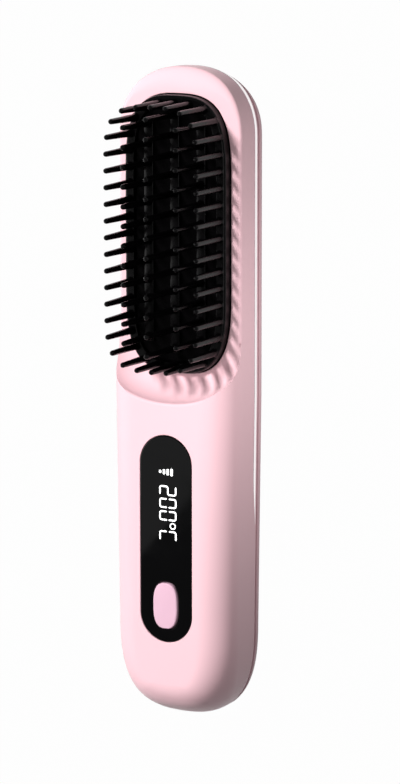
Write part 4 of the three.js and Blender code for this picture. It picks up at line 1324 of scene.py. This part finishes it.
# The camera's turn, lift and roll about the foot of the brush
CAMERA_TURN, CAMERA_LIFT, CAMERA_ROLL = math.radians(28.6), math.radians(10.6), math.radians(-0.07)
# Its distance from the foot, its shift across and down, and how far the foot lies below the origin
CAMERA_AWAY, CAMERA_ACROSS, CAMERA_DOWN, CAMERA_FOOT = 951 * MM, 2.608 * MM, -91.653 * MM, 95 * MM
# Its focal length and the height of the picture, in pixels, and its sensor in millimetres
FOCAL_PIXELS, PICTURE_HEIGHT, SENSOR = 3174.55, 784, 36


def lamp(name, way, distance, energy, size, turn):
    """An area lamp that points at the middle of the brush, turned round its own beam."""
    place = Vector(way).normalized() * distance
    data = bpy.data.lights.new(name, "AREA")
    data.energy = energy
    data.shape = "RECTANGLE"
    data.size, data.size_y = size
    holder = bpy.data.objects.new(name, data)
    bpy.context.scene.collection.objects.link(holder)
    holder.location = place
    facing = (-place).to_track_quat("-Z", "Y").to_matrix() @ Matrix.Rotation(turn, 3, "Z")
    holder.rotation_euler = facing.to_euler()
    return holder


class BRUSH_OT_stage(bpy.types.Operator):
    """Build the floor, the lamps and the camera"""

    bl_idname = "brush.stage"
    bl_label = "Stage"

    def execute(self, context):
        scene = context.scene
        mesh = bmesh.new()
        bmesh.ops.create_grid(mesh, x_segments=2, y_segments=2, size=FLOOR_HALF)
        bmesh.ops.translate(mesh, verts=mesh.verts, vec=(0, 0, -FLOOR_DEPTH))
        floor = as_object("floor", mesh)
        floor.data.materials.append(self.floor_finish())
        self.set_world(scene)
        for row in LAMPS:
            lamp(*row)
        bpy.data.objects["key"].visible_glossy = False
        beam = bpy.data.objects["right_fill"]
        beam.data.spread = SIDE_BEAM
        beam.location.y += SIDE_BEAM_SHIFT
        beam.visible_glossy = False
        self.set_camera(scene)
        return {"FINISHED"}

    def floor_finish(self):
        """A plain floor that takes the shadow, and that the camera and gloss see as nearly white."""
        material = bpy.data.materials.new("pale_floor")
        material.use_nodes = True
        nodes = material.node_tree.nodes
        shader = nodes["Principled BSDF"]
        set_inputs(shader, {"Base Color": (FLOOR_GREY, FLOOR_GREY, FLOOR_GREY, 1), "Roughness": 0.9})
        glow = add_node(nodes, "Emission")
        rays = add_node(nodes, "LightPath")
        seen = add_node(nodes, "Math", operation="MAXIMUM")
        through = add_node(nodes, "Math", operation="MAXIMUM")
        share = add_node(nodes, "Math", {1: FLOOR_WHITE}, operation="MULTIPLY")
        mix = add_node(nodes, "MixShader")
        wire(
            material.node_tree,
            (rays, "Is Camera Ray", seen, 0),
            (rays, "Is Glossy Ray", seen, 1),
            (seen, 0, through, 0),
            (rays, "Is Transmission Ray", through, 1),
            (through, 0, share, 0),
            (share, 0, mix, 0),
            (shader, "BSDF", mix, 1),
            (glow, "Emission", mix, 2),
            (mix, "Shader", nodes["Material Output"], "Surface"),
        )
        return material

    def set_world(self, scene):
        """A dim even light, which the camera sees as white."""
        world = bpy.data.worlds.new("studio")
        scene.world = world
        world.use_nodes = True
        nodes = world.node_tree.nodes
        ambient = nodes["Background"]
        set_inputs(ambient, {"Color": WHITE, "Strength": AMBIENT})
        white = add_node(nodes, "Background", {"Color": WHITE})
        rays = add_node(nodes, "LightPath")
        mix = add_node(nodes, "MixShader")
        wire(
            world.node_tree,
            (rays, "Is Camera Ray", mix, 0),
            (ambient, 0, mix, 1),
            (white, 0, mix, 2),
            (mix, 0, nodes["World Output"], "Surface"),
        )
        scene.view_settings.view_transform = "Standard"

    def set_camera(self, scene):
        """The photo's view of the brush."""
        level = math.cos(CAMERA_LIFT)
        back = Vector((math.sin(CAMERA_TURN) * level, math.sin(CAMERA_LIFT), math.cos(CAMERA_TURN) * level))
        right = Vector((0, 1, 0)).cross(back).normalized()
        up = back.cross(right)
        right_rolled = math.cos(CAMERA_ROLL) * right + math.sin(CAMERA_ROLL) * up
        up_rolled = math.cos(CAMERA_ROLL) * up - math.sin(CAMERA_ROLL) * right
        place = CAMERA_AWAY * back - CAMERA_ACROSS * right_rolled - CAMERA_DOWN * up_rolled
        place -= Vector((0, CAMERA_FOOT, 0))
        data = bpy.data.cameras.new("camera")
        data.sensor_width = SENSOR
        data.lens = FOCAL_PIXELS / PICTURE_HEIGHT * SENSOR
        data.clip_start = 0.01
        data.clip_end = 20
        camera = bpy.data.objects.new("camera", data)
        scene.collection.objects.link(camera)
        basis = Matrix((right_rolled, up_rolled, back)).transposed().to_4x4()
        camera.matrix_world = Matrix.Translation(place) @ basis
        scene.camera = camera


GROUPS = {
    "brush_body": BodySizes,
    "brush_head": HeadSizes,
    "brush_teeth": ToothSizes,
    "brush_display": DisplaySizes,
    "brush_finishes": Finishes,
}
OPERATORS = (
    BRUSH_OT_shells,
    BRUSH_OT_trim,
    BRUSH_OT_display,
    BRUSH_OT_button,
    BRUSH_OT_bristles,
    BRUSH_OT_heater,
    BRUSH_OT_screws,
    BRUSH_OT_port,
    BRUSH_OT_inside,
    BRUSH_OT_stage,
)


class BRUSH_PT_sidebar(bpy.types.Panel):
    """Lists the sizes, colours and pieces of the brush"""

    bl_idname = "BRUSH_PT_sidebar"
    bl_label = "Hair Straightening Brush"
    bl_space_type = "VIEW_3D"
    bl_region_type = "UI"
    bl_category = "Brush"

    def draw(self, context):
        for key, group in GROUPS.items():
            box = self.layout.box()
            for name in group.__annotations__:
                box.prop(getattr(context.scene, key), name)
        for operator in OPERATORS:
            self.layout.operator(operator.bl_idname)


CLASSES = (*GROUPS.values(), *OPERATORS, BRUSH_PT_sidebar)


def register():
    for item in CLASSES:
        bpy.utils.register_class(item)
    for key, group in GROUPS.items():
        setattr(bpy.types.Scene, key, bpy.props.PointerProperty(type=group))


def unregister():
    for key in GROUPS:
        delattr(bpy.types.Scene, key)
    for item in reversed(CLASSES):
        bpy.utils.unregister_class(item)


def main():
    register()
    for operator in OPERATORS:
        group, name = operator.bl_idname.split(".")
        getattr(getattr(bpy.ops, group), name)()


if __name__ == "__main__":
    main()
